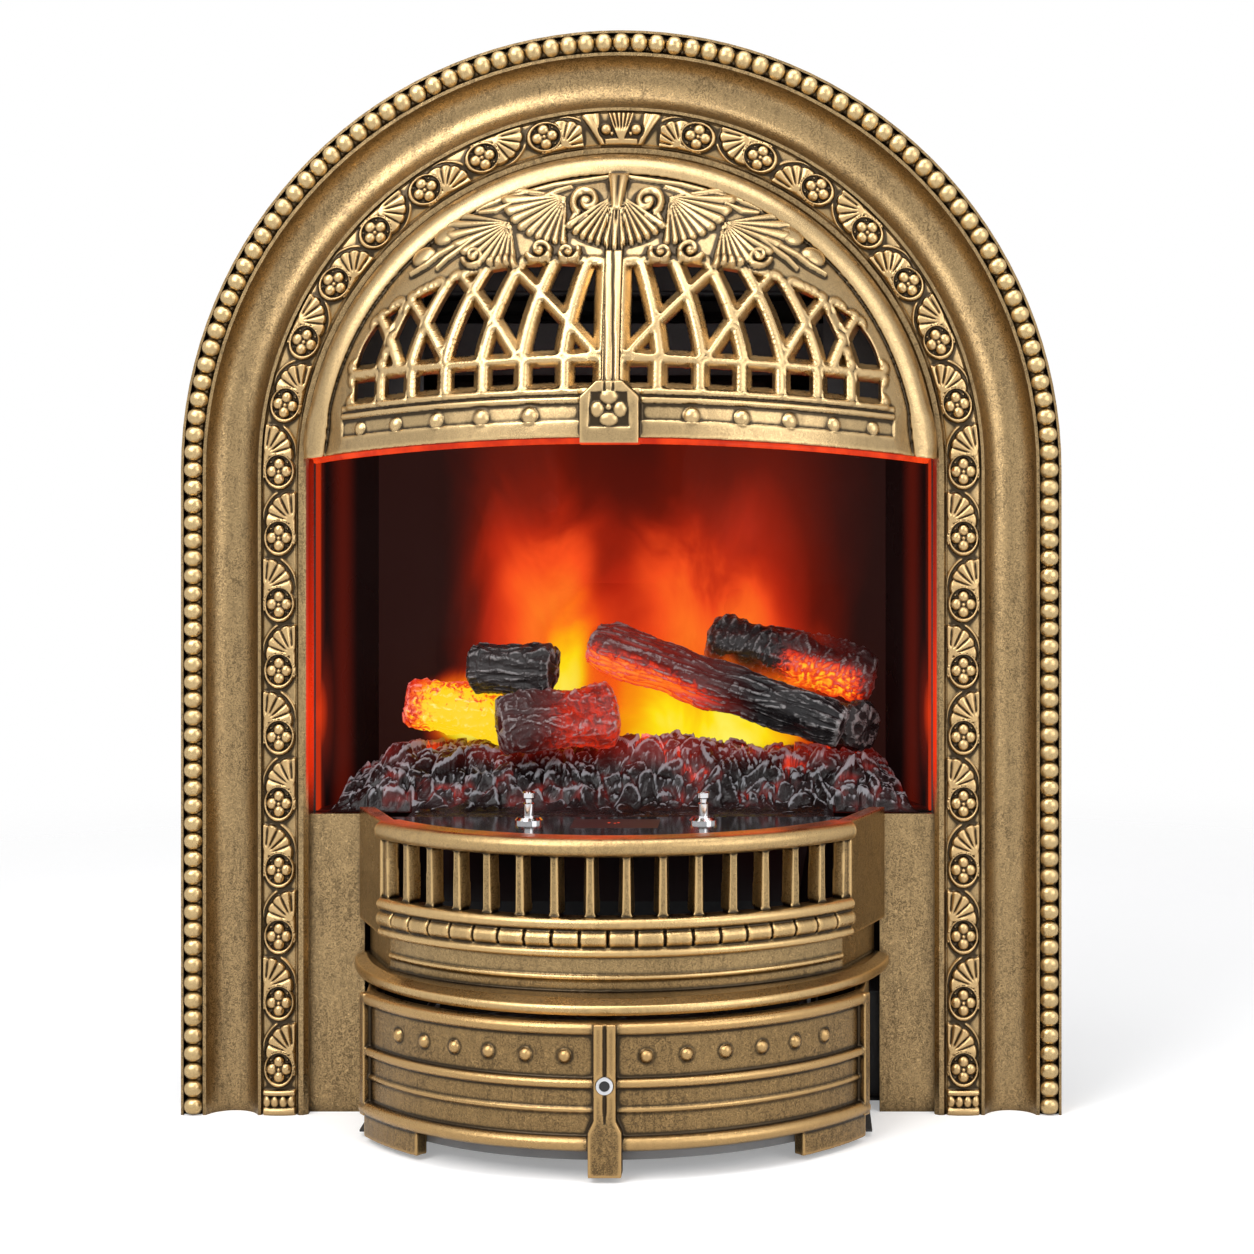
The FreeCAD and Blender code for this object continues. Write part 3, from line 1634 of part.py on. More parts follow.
def make_mist_fan():
    """An axial fan on the back of the duct; its rotor turns on a pin in the frame's hub."""
    front = s.duct_back
    back = front + s.fan_thick
    half_fan = s.fan_size / 2
    body = new_body("mist_fan_frame")
    square = rectangle(-half_fan, fan_middle - half_fan, half_fan, fan_middle + half_fan)
    grow(body, "XZ_Plane", front, back, square)
    web_front = back - s.fan_web
    cut(body, "XZ_Plane", front, web_front, circles=[(0, fan_middle, s.fan_bore)])
    for side in (-1, 1):
        for level in (-1, 1):
            near = s.fan_web / 2
            far = s.fan_bore * 0.66
            x_low, x_high = (near, far) if side > 0 else (-far, -near)
            z_low, z_high = (near, far) if level > 0 else (-far, -near)
            window = rectangle(x_low + s.fan_hub / 2 * side, fan_middle + z_low, x_high, fan_middle + z_high)
            cut(body, "XZ_Plane", web_front, back, window)
    cut(body, "XZ_Plane", web_front, back, circles=[(0, fan_middle, s.fan_shaft + s.run_gap)])
    finish(body, "mist_fan_frame")

    hub_back = web_front - s.fan_web / 3
    hub_length = hub_back - front - s.fit_gap
    hub = rod("fan_hub", "y", s.fan_hub, hub_length, 0, front + s.fit_gap, fan_middle)
    shaft = rod("fan_shaft", "y", s.fan_shaft, back - front - s.fit_gap, 0, front + s.fit_gap, fan_middle)
    tip = s.fan_bore - s.fan_tip_gap
    blades = []
    for index in range(FAN_BLADES):
        blade = doc.addObject("Part::Box", "fan_blade")
        bind(blade, "Length", tip - s.fan_hub / 2)
        bind(blade, "Width", hub_length * 0.9)
        bind(blade, "Height", s.blade_thick)
        tilt = FreeCAD.Rotation(vector(1, 0, 0), FAN_BLADE_PITCH)
        around_axis = FreeCAD.Rotation(vector(0, 1, 0), 360 / FAN_BLADES * index)
        start = around_axis.multVec(vector((s.fan_hub / 2).number, 0, 0))
        middle = vector(0, (front + s.fit_gap * 1.5).number, fan_middle.number)
        blade.Placement = FreeCAD.Placement(middle + start, around_axis.multiply(tilt))
        blades.append(blade)
    zone = rod("fan_zone", "y", tip, hub_length, 0, front + s.fit_gap, fan_middle)
    trimmed = doc.addObject("Part::MultiCommon", "fan_blades")
    trimmed.Shapes = [fuse("fan_blade_set", blades), zone]
    finish(fuse("mist_fan_rotor", [hub, shaft, trimmed]), "mist_fan_rotor")


def make_lights():
    """Two light bars on the firebox floor, one on each side of the nozzle, under clear lenses."""
    bars = []
    lenses = []
    length = nozzle_half
    for front in (nozzle_low - s.light_gap - s.light_width, nozzle_high + s.light_gap):
        rear = front + s.light_width
        top = floor_height + s.light_height
        bars.append(block("light_bar", (-length, front, floor_height), (length, rear, top)))
        lenses.append(block("light_lens", (-length, front, top), (length, rear, top + s.lens_height)))
    finish(group("light_bars", bars), "light_bars")
    finish(group("light_lenses", lenses), "light_lenses")


# Fan heater

heater_top = roof_top + s.heater_height
rotor_y = s.heater_front + s.rotor_setback
rotor_z = roof_top + s.heater_height / 2


def make_heater():
    wall = s.sheet
    wide = heater_half
    body = new_body("heater_housing")
    grow(body, "XY_Plane", roof_top, heater_top, rectangle(-wide, s.heater_front, wide, s.heater_back))
    inside = rectangle(wall - wide, s.heater_front - s.fit_gap, wide - wall, s.heater_back - wall)
    cut(body, "XY_Plane", roof_top + wall, heater_top - wall, inside)
    finish(body, "heater_housing")
    inner = wide - wall
    element_front = s.heater_front + s.element_setback
    element_low = rotor_z - s.element_height / 2
    finish(block(
        "heater_element",
        (-inner, element_front, element_low),
        (inner, element_front + s.element_depth, element_low + s.element_height),
    ), "heater_element")
    bore = s.heater_shaft + s.run_gap
    motor = rod("motor_can", "x", s.motor_radius, s.motor_length, inner - s.motor_length, rotor_y, rotor_z)
    motor_bore = rod("motor_bore", "x", bore, s.motor_length / 2, inner - s.motor_length, rotor_y, rotor_z)
    finish(take_away("heater_motor", motor, motor_bore), "heater_motor")
    bush = rod("bush", "x", s.bearing_radius, s.bearing_length, -inner, rotor_y, rotor_z)
    bush_bore = rod("bush_bore", "x", bore, s.bearing_length, -inner, rotor_y, rotor_z)
    finish(take_away("heater_bearing", bush, bush_bore), "heater_bearing")


def make_heater_rotor():
    """A cross-flow rotor: end discs, blades and a shaft in the bearing and the motor."""
    inner = heater_half - s.sheet
    start = s.bearing_length + s.fit_gap * 2 - inner
    disc = s.rotor_disc
    shaft_start = s.end_float - inner
    shaft_length = inner * 2 - s.motor_length / 2 - s.end_float * 2
    pieces = [rod("rotor_shaft", "x", s.heater_shaft, shaft_length, shaft_start, rotor_y, rotor_z)]
    for x in (start, start + (s.rotor_length - disc) / 2, start + s.rotor_length - disc):
        pieces.append(rod("rotor_disc", "x", s.rotor_radius, disc, x, rotor_y, rotor_z))
    for index in range(ROTOR_BLADES):
        blade = doc.addObject("Part::Box", "rotor_blade")
        bind(blade, "Length", s.rotor_length)
        bind(blade, "Width", s.rotor_blade)
        bind(blade, "Height", s.blade_thick)
        spin = FreeCAD.Rotation(vector(1, 0, 0), 360 / ROTOR_BLADES * index)
        lean = FreeCAD.Rotation(vector(1, 0, 0), ROTOR_BLADE_ANGLE)
        foot = spin.multVec(vector(0, (s.rotor_radius - s.rotor_blade).number, 0))
        centre = vector(start.number, rotor_y.number, rotor_z.number)
        blade.Placement = FreeCAD.Placement(centre + foot, spin.multiply(lean))
        pieces.append(blade)
    finish(fuse("heater_rotor", pieces), "heater_rotor")


# Controls and mains entry

def make_control_box():
    low_x = casing_inner - s.box_margin - s.box_width
    high_x = casing_inner - s.box_margin
    high_y = back_inner - s.box_rear
    low_y = plate_back + s.box_front
    low = base_top
    high = low + s.box_height
    wall = s.box_wall
    body = new_body("control_box")
    grow(body, "XY_Plane", low, high, rectangle(low_x, low_y, high_x, high_y))
    inside = rectangle(low_x + wall, low_y + wall, high_x - wall, high_y - wall)
    cut(body, "XY_Plane", low + wall, high, inside)
    board_low = low + wall + s.board_lift
    posts = [
        (x, y, wall)
        for x in (low_x + wall * 3, high_x - wall * 3) for y in (low_y + wall * 3, high_y - wall * 3)
    ]
    grow(body, "XY_Plane", low + wall / 2, board_low, circles=posts)
    finish(body, "control_box")
    inset = wall + s.fit_gap
    board = rectangle(low_x + inset, low_y + inset, high_x - inset, high_y - inset)
    slab("control_board", "XY_Plane", board_low, board_low + s.board_thick, board)
    finish(block("control_box_lid", (low_x, low_y, high), (high_x, high_y, high + wall)), "control_box_lid")


def make_mains_inlet():
    x, z = inlet_x, s.inlet_z
    wide, tall = s.inlet_width / 2, s.inlet_height / 2
    back = s.casing_depth
    flange = s.inlet_flange
    face = back + s.inlet_flange_thick
    body = new_body("mains_inlet")
    grow(body, "XZ_Plane", back - s.inlet_depth, face, rectangle(x - wide, z - tall, x + wide, z + tall))
    rim = rectangle(x - wide - flange, z - tall - flange, x + wide + flange, z + tall + flange)
    grow(body, "XZ_Plane", back, face, rim)
    wall = s.inlet_wall
    well = rectangle(x - wide + wall, z - tall + wall, x + wide - wall, z + tall - wall)
    cut(body, "XZ_Plane", face - s.inlet_well, face, well)
    pins = [
        rectangle(
            x + s.pin_spacing * index - s.pin_thick / 2, z - s.pin_width / 2,
            x + s.pin_spacing * index + s.pin_thick / 2, z + s.pin_width / 2,
        )
        for index in (-1, 0, 1)
    ]
    grow(body, "XZ_Plane", face - s.inlet_well - wall / 2, face - s.inlet_well / 4, *pins)
    finish(body, "mains_inlet")


pivot_y = s.casing_depth - s.rocker_dip


def make_switch():
    """A rocker switch beside the inlet; the rocker's pins turn in the body's walls."""
    x, z = switch_x, s.inlet_z
    wide, tall = s.switch_width / 2, s.switch_height / 2
    back = s.casing_depth
    face = back + s.inlet_flange_thick / 2
    flange = s.inlet_flange / 2
    wall = s.switch_wall
    body = new_body("switch_body")
    grow(body, "XZ_Plane", back - s.switch_depth, face, rectangle(x - wide, z - tall, x + wide, z + tall))
    rim = rectangle(x - wide - flange, z - tall - flange, x + wide + flange, z + tall + flange)
    grow(body, "XZ_Plane", back, face, rim)
    well = rectangle(x - wide + wall, z - tall + wall, x + wide - wall, z + tall - wall)
    cut(body, "XZ_Plane", back - s.switch_depth / 2, face, well)
    bore = s.pivot_radius + s.run_gap
    inner = wide - wall
    reach = inner + s.pivot_length
    cut(body, "YZ_Plane", x - reach, x + reach, circles=[(pivot_y, z, bore)])
    finish(body, "switch_body")

    half_rocker = inner - s.rocker_gap
    half_tall = tall - wall - s.rocker_gap * 2
    rocker = new_body("switch_rocker")
    grow(rocker, "YZ_Plane", -half_rocker, half_rocker, [
        (-s.rocker_root, -half_tall),
        (s.rocker_rise, -half_tall),
        (s.rocker_dip, 0),
        (s.rocker_rise, half_tall),
        (-s.rocker_root, half_tall),
    ])
    pin = half_rocker + s.rocker_gap + s.pivot_length - s.rocker_gap / 2
    grow(rocker, "YZ_Plane", -pin, pin, circles=[(0, 0, s.pivot_radius)])
    tilt = FreeCAD.Rotation(vector(1, 0, 0), -s.rocker_tilt.number)
    rocker.Placement = FreeCAD.Placement(vector(0, 0, 0), tilt)
    finish(rocker, "switch_rocker", (x, pivot_y, z))


def make_all():
    make_front_frame()
    make_front_plate()
    make_frame_screws()
    make_hood()
    make_lower_panels()
    make_front_grate()
    make_drawer_front()
    make_receiver()
    make_drawer_tray()
    make_runners()
    make_water_tub()
    make_fogger()
    make_float()
    make_dock()
    make_casing()
    make_casing_back()
    make_firebox()
    make_embers_and_logs()
    make_access_lid()
    make_lift_knobs()
    make_mist_duct()
    make_mist_fan()
    make_lights()
    make_heater()
    make_heater_rotor()
    make_control_box()
    make_mains_inlet()
    make_switch()
    doc.recompute()


def check_document():
    faults = [item.Label for item in doc.Objects if {"Invalid", "Error"} & set(item.State)]
    for node in nodes:
        if node.Shape.isNull() or not node.Shape.isValid() or not node.Shape.Solids:
            faults.append(node.Label)
    if faults:
        raise ValueError(f"failed: {', '.join(faults)}")


def write_parts():
    os.makedirs("parts", exist_ok=True)
    for node in nodes:
        node.Shape.exportStep(f"parts/{node.Label}.step")


make_all()
check_document()
write_parts()
print(len(nodes), "sub-parts written")
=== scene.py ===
import math
from functools import partialmethod

import bmesh
import bpy
import numpy as np
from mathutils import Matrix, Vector, noise
from mathutils.kdtree import KDTree


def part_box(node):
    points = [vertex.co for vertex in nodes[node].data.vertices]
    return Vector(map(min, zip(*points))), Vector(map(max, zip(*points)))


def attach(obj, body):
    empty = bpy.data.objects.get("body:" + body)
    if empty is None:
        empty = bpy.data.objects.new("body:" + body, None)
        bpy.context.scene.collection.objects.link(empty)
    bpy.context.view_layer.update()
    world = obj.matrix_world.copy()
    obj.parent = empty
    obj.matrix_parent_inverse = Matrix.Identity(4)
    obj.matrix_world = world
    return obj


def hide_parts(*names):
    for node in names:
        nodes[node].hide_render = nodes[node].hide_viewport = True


# The same bark and coal on every run
noise.seed_set(4)

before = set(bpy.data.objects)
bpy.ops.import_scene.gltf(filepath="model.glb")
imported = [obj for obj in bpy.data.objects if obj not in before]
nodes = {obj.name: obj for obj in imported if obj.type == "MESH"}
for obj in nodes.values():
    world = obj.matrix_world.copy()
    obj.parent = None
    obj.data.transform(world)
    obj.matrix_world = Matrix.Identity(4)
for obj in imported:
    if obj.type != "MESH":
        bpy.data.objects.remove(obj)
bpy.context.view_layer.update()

MM = 0.001

# Frame: where its arch springs, its row of pearls and its carved band
SPRING = 366
BEAD_RADIUS = 243.1
BEAD_COUNT = 149
BEAD_ACROSS, BEAD_ALONG, BEAD_DEPTH = 5.6, 5.2, 5.2
BEAD_MIDDLE = 3.6
FRIEZE_RADIUS = 194.25
FRIEZE_HALF = 9.75
FRIEZE_CROWN = 1.5
FRIEZE_STEP = 0.42
RELIEF = 1.5

# Hood: the sphere it is part of, how its lower edge arches, and half its spine's width
HOOD_CENTRE = np.array((0, 118.7, 366))
HOOD_SPHERE = 213.7
HOOD_ARCH = 2600
SPINE_HALF = 16

# Grate: its curve, the angles between its reels and its bars, and half a bar's width
GRATE_RADIUS = 164
GRATE_AXIS = 55
REEL_PITCH = 5.22
BAR_PITCH = 6.8235
BAR_HALF = 3

# Ember heap: half its width between the lower panels and behind them, its floor's height, its grid's step
HEAP_NARROW, HEAP_WIDE = 121, 170
HEAP_FLOOR = 170.3
HEAP_STEP = 0.85

# Where the photo's pixels lie: its scale, its eye point, the floor's middle, the spine and the keystone
PIXEL = 0.567
EYE_DISTANCE = 1500
EYE_U, EYE_V = 787, 435
FLOOR_U, FLOOR_V = 621, 1116
SPINE_U, KEYSTONE_U = 614, 608.5

BLACK = (0, 0, 0)
WHITE = (1, 1, 1)
BRASS = (0.37, 0.25, 0.115)
DARK_BRASS = (0.05, 0.031, 0.013)


# Mesh helpers

def new_object(name, data):
    piece = bpy.data.objects.new(name, data)
    bpy.context.scene.collection.objects.link(piece)
    return piece


def mesh_piece(name, points, faces):
    """A smooth piece from points in millimetres."""
    mesh = bpy.data.meshes.new(name)
    mesh.from_pydata((np.asarray(points, float) * MM).tolist(), [], faces)
    mesh.validate()
    mesh.shade_smooth()
    mesh.update()
    return new_object(name, mesh)


def grid_faces(rows, columns, closed=False):
    """Faces over a grid of points; closed joins the last column to the first."""
    faces = []
    for row in range(rows - 1):
        low, high = row * columns, (row + 1) * columns
        for column in range(columns if closed else columns - 1):
            after = (column + 1) % columns
            faces.append((low + column, low + after, high + after, high + column))
    return faces


def point_values(mesh, name):
    values = np.empty(len(mesh.vertices) * 3)
    mesh.vertices.foreach_get(name, values)
    return values.reshape(-1, 3)


def mesh_points(mesh):
    """The mesh's points in millimetres."""
    return point_values(mesh, "co") / MM


def set_points(mesh, points):
    mesh.vertices.foreach_set("co", (points * MM).ravel())
    mesh.update()


def cast(node, voxel):
    """A fine copy of a node's shape whose edges are softened as a casting's are."""
    piece = new_object("cast_" + node, nodes[node].data.copy())
    remesh = piece.modifiers.new("fine", "REMESH")
    remesh.mode = "VOXEL"
    remesh.voxel_size = voxel * MM
    soften = piece.modifiers.new("soften", "SMOOTH")
    soften.factor = 0.5
    soften.iterations = 2
    shaped = piece.evaluated_get(bpy.context.evaluated_depsgraph_get())
    mesh = bpy.data.meshes.new_from_object(shaped)
    piece.modifiers.clear()
    piece.data = mesh
    mesh.shade_smooth()
    return piece


def edge_distance(points, walls, reach):
    """How far each point is from the nearest wall point, up to reach."""
    tree = KDTree(len(walls))
    for index, place in enumerate(walls):
        tree.insert(place, index)
    tree.balance()
    return np.array([min(reach, tree.find(place)[2]) for place in points])


def store(mesh, name, values):
    """Keeps a value on each of the mesh's points, for its material to read."""
    kept = mesh.attributes.new(name, "FLOAT", "POINT")
    kept.data.foreach_set("value", np.asarray(values, np.float32))


def store_rise(mesh, rounds):
    """Keeps how far each point stands above the smoothed ground round it, in millimetres."""
    points = mesh_points(mesh)
    ends = np.empty(len(mesh.edges) * 2, dtype=np.int32)
    mesh.edges.foreach_get("vertices", ends)
    first, second = ends.reshape(-1, 2).T
    count = len(points)
    neighbours = np.bincount(first, minlength=count) + np.bincount(second, minlength=count)
    ground = points.copy()
    for _ in range(rounds):
        total = [
            np.bincount(first, axis[second], count) + np.bincount(second, axis[first], count)
            for axis in ground.T
        ]
        ground = np.stack(total, axis=-1) / np.maximum(neighbours, 1)[:, None]
    store(mesh, "rise", np.einsum("ij,ij->i", points - ground, point_values(mesh, "normal")))


def face_outwards(mesh):
    """Turns the faces of closed pieces to look outwards."""
    shape = bmesh.new()
    shape.from_mesh(mesh)
    bmesh.ops.recalc_face_normals(shape, faces=shape.faces)
    shape.to_mesh(mesh)
    shape.free()


def set_material(mesh, material):
    mesh.materials.clear()
    mesh.materials.append(material)


def settle(piece, body, material, slot, *replaced):
    """Gives a finished piece its material and body, and hides the nodes that it replaces."""
    set_material(piece.data, material)
    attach(piece, body)
    if replaced:
        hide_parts(*replaced)


# Node helpers

class Nodes:
    """Adds nodes to a tree and gives back their outputs."""

    def __init__(self, tree):
        self.tree = tree

    def put(self, socket, value):
        if isinstance(value, bpy.types.NodeSocket):
            self.tree.links.new(value, socket)
        elif isinstance(value, tuple) and len(value) == 3 and len(socket.default_value) == 4:
            socket.default_value = (*value, 1)
        else:
            socket.default_value = value

    def node(self, kind, sockets=(), **settings):
        """A node with its settings, and its sockets filled by name or number."""
        made = self.tree.nodes.new("ShaderNode" + kind)
        for key, value in settings.items():
            setattr(made, key, value)
        for key, value in dict(sockets).items():
            self.put(made.inputs[key], value)
        return made

    def combine(self, operation, *values, clamp=False):
        """One value from the first two, then from that and each further one."""
        result = values[0]
        for value in values[1:]:
            made = self.node("Math", {0: result, 1: value}, operation=operation, use_clamp=clamp)
            result = made.outputs[0]
        return result

    plus = partialmethod(combine, "ADD")
    minus = partialmethod(combine, "SUBTRACT")
    times = partialmethod(combine, "MULTIPLY")
    most = partialmethod(combine, "MAXIMUM")

    def away(self, value, place=0):
        """How far a value is from a place, either way."""
        return self.combine("ABSOLUTE", self.minus(value, place), 0)

    def swing(self, value, size):
        """A noise's value as a shift either way."""
        return self.times(self.minus(value, 0.5), size)

    def span(self, value, low, high, start=0, end=1):
        """Value between low and high, smoothly turned into start to end."""
        sockets = {"Value": value, "From Min": low, "From Max": high, "To Min": start, "To Max": end}
        return self.node("MapRange", sockets, interpolation_type="SMOOTHSTEP").outputs[0]

    def mix(self, share, first, second):
        made = self.node("Mix", {"Factor": share}, data_type="RGBA")
        colours = [socket for socket in made.inputs if socket.type == "RGBA"]
        self.put(colours[0], first)
        self.put(colours[1], second)
        return [socket for socket in made.outputs if socket.type == "RGBA"][0]

    def ramp(self, share, *stops):
        made = self.node("ValToRGB", {0: share})
        elements = made.color_ramp.elements
        while len(elements) < len(stops):
            elements.new(0.5)
        for element, (place, colour) in zip(elements, stops):
            element.position = place
            element.color = (*colour, 1)
        return made.outputs[0]


class Look(Nodes):
    """One procedural material."""

    def __init__(self, name, roughness=0.5, metallic=0, specular=0.5):
        self.material = bpy.data.materials.new(name)
        self.material.use_nodes = True
        super().__init__(self.material.node_tree)
        self.place = self.node("TexCoord").outputs["Object"]
        self.shader = self.tree.nodes["Principled BSDF"].inputs
        self.put(self.shader["Specular IOR Level"], specular)
        self.shade(roughness=roughness, metallic=metallic)

    def shade(self, **values):
        for key, value in values.items():
            self.put(self.shader[key.replace("_", " ").title()], value)

    def light(self, glow, strength=1):
        self.shade(emission_color=glow, emission_strength=strength)

    def scaled(self, scale):
        return self.node("Mapping", {"Vector": self.place, "Scale": scale}).outputs[0]

    def noise(self, scale, detail=4, rough=0.55, stretch=None, warp=0):
        place = self.scaled(stretch) if stretch else self.place
        sockets = {"Vector": place, "Scale": scale, "Detail": detail, "Roughness": rough, "Distortion": warp}
        return self.node("TexNoise", sockets).outputs["Fac"]

    def hollow(self, distance):
        """1 on open ground, 0 deep in a hollow."""
        return self.node("AmbientOcclusion", {"Distance": distance * MM}, samples=4).outputs["AO"]

    def stored(self, name):
        """A value kept on the mesh's points."""
        return self.node("Attribute", attribute_name=name).outputs["Fac"]

    def axes(self):
        return self.node("SeparateXYZ", {0: self.place}).outputs

    def bump(self, height, strength, distance):
        sockets = {"Height": height, "Strength": strength, "Distance": distance * MM}
        self.shade(normal=self.node("Bump", sockets).outputs[0])


def tinted(colour, share):
    return tuple(share * part for part in colour)


# Materials of the castings

def brass(name, light, worn, reach, carved=0, patina_and_shade=0.85, glow=None):
    """Antique brass: rubbed bright where it stands proud, with a painted highlight on raised carving; brown
    patina with painted shade in hollows and grooves; short brushed strokes.
    """
    look = Look(name, metallic=1)
    look.shade(coat_weight=0.25, coat_roughness=0.3)
    patch = look.noise(24, detail=5, rough=0.6)
    strokes = look.noise(430, detail=3, rough=0.65, warp=2.6)
    lines = look.noise(95, detail=5, rough=0.7, stretch=(3, 3, 0.5), warp=0.6)
    middle = tuple(0.3 * a + 0.7 * b for a, b in zip(light, DARK_BRASS))
    bright = tinted(light, 1.7)
    dull = look.plus(look.span(strokes, 0.47, 0.6, 0, 0.75), look.span(lines, 0.48, 0.66, 0, 0.4))
    dull = look.times(dull, look.span(patch, 0.3, 0.7, 0.4 * worn, worn), clamp=True)
    colour = look.mix(dull, light, middle)
    colour = look.mix(look.span(strokes, 0.3, 0.42, 0.45 * worn, 0), colour, bright)
    # Brown patina and painted shade: darker deep in hollows, as the ambient occlusion node finds them
    colour = look.mix(look.span(look.hollow(reach), 0.25, 0.9, patina_and_shade, 0), colour, DARK_BRASS)
    if carved:
        rise = look.stored("rise")
        # Painted shade in the sunk grooves, and a painted highlight with rubbed wear where carving stands
        # proud
        colour = look.mix(look.span(rise, -0.32, -0.03, 0.95, 0), colour, tinted(DARK_BRASS, 0.5))
        colour = look.mix(look.span(rise, 0.04, 0.34, 0, carved), colour, bright)
    look.shade(base_color=colour, roughness=look.span(look.plus(patch, strokes), 0.7, 1.3, 0.24, 0.42))
    look.bump(look.plus(strokes, look.times(lines, 0.7)), 0.25 * worn, 0.35)
    if glow:
        glow(look, colour)
    return look.material


def fire_lit(look, colour, share, glow):
    """Paints part of a brass surface dark as shade, and lets painted firelight lie on it."""
    look.shade(base_color=look.mix(share, colour, (0.02, 0.006, 0.002)))
    look.light(glow, share)


def jamb_glow(look, colour):
    """Firelight on the frame's inner walls beside the fire."""
    x, y, z = look.axes()
    wall = look.span(look.away(x), 0.1789, 0.1795, 1, 0)
    deep = look.span(y, 0.0005, 0.0022)
    height = look.times(look.span(z, 0.167, 0.2), look.span(z, 0.366, 0.38, 1, 0))
    cloud = look.noise(40, stretch=(1, 1, 0.4))
    heat = look.times(look.span(look.away(z, 0.225), 0, 0.13, 1, 0.25), look.span(cloud, 0.3, 0.7, 0.8))
    stops = (0.2, (0.2, 0.006, 0.001)), (0.6, (0.5, 0.014, 0.001)), (1, (1, 0.035, 0.001))
    fire_lit(look, colour, look.times(wall, deep, height), look.ramp(heat, *stops))


def lip_glow(look, colour):
    """Firelight on the hood's lower lip and the underside of its keystone."""
    x, y, z = look.axes()
    level = look.plus(z, look.times(x, x, 1 / (HOOD_ARCH * MM)))
    lip = look.span(level, 0.3843, 0.385, 1, 0)
    behind = look.span(y, -0.1, -0.097)
    tab = look.times(look.span(z, 0.3817, 0.3827, 1, 0), look.minus(1, behind))
    glow = look.mix(look.span(look.noise(50), 0.3, 0.7), (0.55, 0.016, 0.002), (1, 0.06, 0.005))
    fire_lit(look, colour, look.most(look.times(lip, behind), tab), glow)


def rail_glow(look, _):
    """Firelight on the top of the grate's rail."""
    normal = look.node("NewGeometry").outputs["Normal"]
    up = look.node("SeparateXYZ", {0: normal}).outputs[2]
    top = look.times(look.span(up, 0.8, 0.98), look.span(look.axes()[2], 0.165, 0.17))
    share = look.times(top, look.span(look.noise(26), 0.35, 0.65, 0.1, 0.7))
    look.light(look.mix(share, BLACK, (0.62, 0.05, 0.008)))


# Plain materials

def coated(name, colour, roughness, depth=0.15):
    """A moulded or coated surface with a fine grain and a little unevenness."""
    look = Look(name, roughness)
    cloud = look.span(look.noise(22, detail=5), 0.35, 0.7)
    grain = look.noise(900, detail=2)
    look.shade(
        base_color=look.mix(cloud, tinted(colour, 0.86), tinted(colour, 1.1)),
        roughness=look.span(grain, 0.3, 0.7, roughness * 0.85, roughness * 1.15),
    )
    look.bump(grain, depth, 0.2)
    return look.material


def brushed(name, colour, roughness, stretch):
    """Bare metal with fine lines along one way."""
    look = Look(name, roughness, 1)
    lines = look.noise(500, detail=3, stretch=stretch)
    cloud = look.span(look.noise(18), 0.3, 0.7)
    look.shade(
        base_color=look.mix(cloud, tinted(colour, 0.85), colour),
        roughness=look.span(lines, 0.3, 0.7, roughness * 0.75, roughness * 1.25),
    )
    look.bump(lines, 0.1, 0.1)
    return look.material


def display_look():
    """Smoked window with a faint red light behind it."""
    look = Look("smoked_window", 0.5, specular=0.2)
    x, y, _ = look.axes()
    cells = look.node("TexVoronoi", {"Vector": look.scaled((1, 0.4, 1)), "Scale": 260})
    dots = look.span(cells.outputs["Distance"], 0.12, 0.3, 1, 0)
    middle = look.span(look.away(x), 0.004, 0.02, 1, 0)
    row = look.span(look.away(y, -0.047), 0.001, 0.006, 1, 0)
    look.shade(base_color=look.mix(look.noise(40), (0.006, 0.006, 0.007), (0.02, 0.02, 0.022)))
    look.light(look.mix(look.times(dots, middle, row), (0.02, 0.001, 0), (0.8, 0.05, 0.01)))
    return look.material


def lens_look():
    """Amber diffuser of a light bar."""
    look = Look("amber_diffuser", 0.35)
    cloud = look.span(look.noise(60), 0.3, 0.7, 0.6, 1)
    look.shade(base_color=look.mix(cloud, (0.9, 0.3, 0.05), (1, 0.5, 0.15)))
    look.light(look.mix(cloud, (1, 0.12, 0.01), (1, 0.35, 0.04)), 2)
    return look.material


# Materials of the firebox

def enamel(name, glow, specular=0.04):
    """Black enamel; glow gives the red light that lies on it."""
    look = Look(name, 0.3, specular=specular)
    cloud = look.noise(9)
    look.shade(
        base_color=look.mix(cloud, (0.006, 0.004, 0.004), (0.018, 0.013, 0.012)),
        roughness=look.span(cloud, 0.3, 0.7, 0.25, 0.4),
    )
    glow(look)
    return look.material


def back_glow(look):
    """Red light behind the flames: two broad upright bands, dimmer between them and towards the roof."""
    x, _, z = look.axes()
    cloud = look.noise(13, detail=5, stretch=(1, 1, 0.5), warp=0.7)
    place = look.plus(x, look.swing(cloud, 0.06))
    bands = ((-0.062, 0.012, 0.062, 1), (0.056, 0.015, 0.085, 1), (0, 0.04, 0.1, 0.55))
    lit = [look.span(look.away(place, middle), inner, outer, most, 0) for middle, inner, outer, most in bands]
    height = look.span(z, 0.27, 0.405, 1, 0.26)
    stops = (
        (0, (0.018, 0.005, 0.004)),
        (0.3, (0.13, 0.008, 0.003)),
        (0.6, (0.4, 0.02, 0.006)),
        (1, (0.72, 0.04, 0.009)),
    )
    look.light(look.ramp(look.times(look.most(*lit), height, look.span(cloud, 0.3, 0.7, 0.6, 1)), *stops))


def side_glow(look):
    """Faint red reflections that stand on the side panels."""
    _, y, z = look.axes()
    streak = look.span(look.away(y, 0.062), 0, 0.02, 0.35, 0)
    front = look.span(y, 0.03, 0.042, 0.8, 0)
    low = look.times(look.span(look.away(z, 0.225), 0, 0.05, 1, 0), look.span(y, 0.03, 0.06, 0.9, 0))
    stops = (0, (0.003, 0.001, 0.001)), (0.5, (0.1, 0.006, 0.002)), (1, (0.75, 0.04, 0.004))
    look.light(look.ramp(look.most(streak, front, low), *stops))


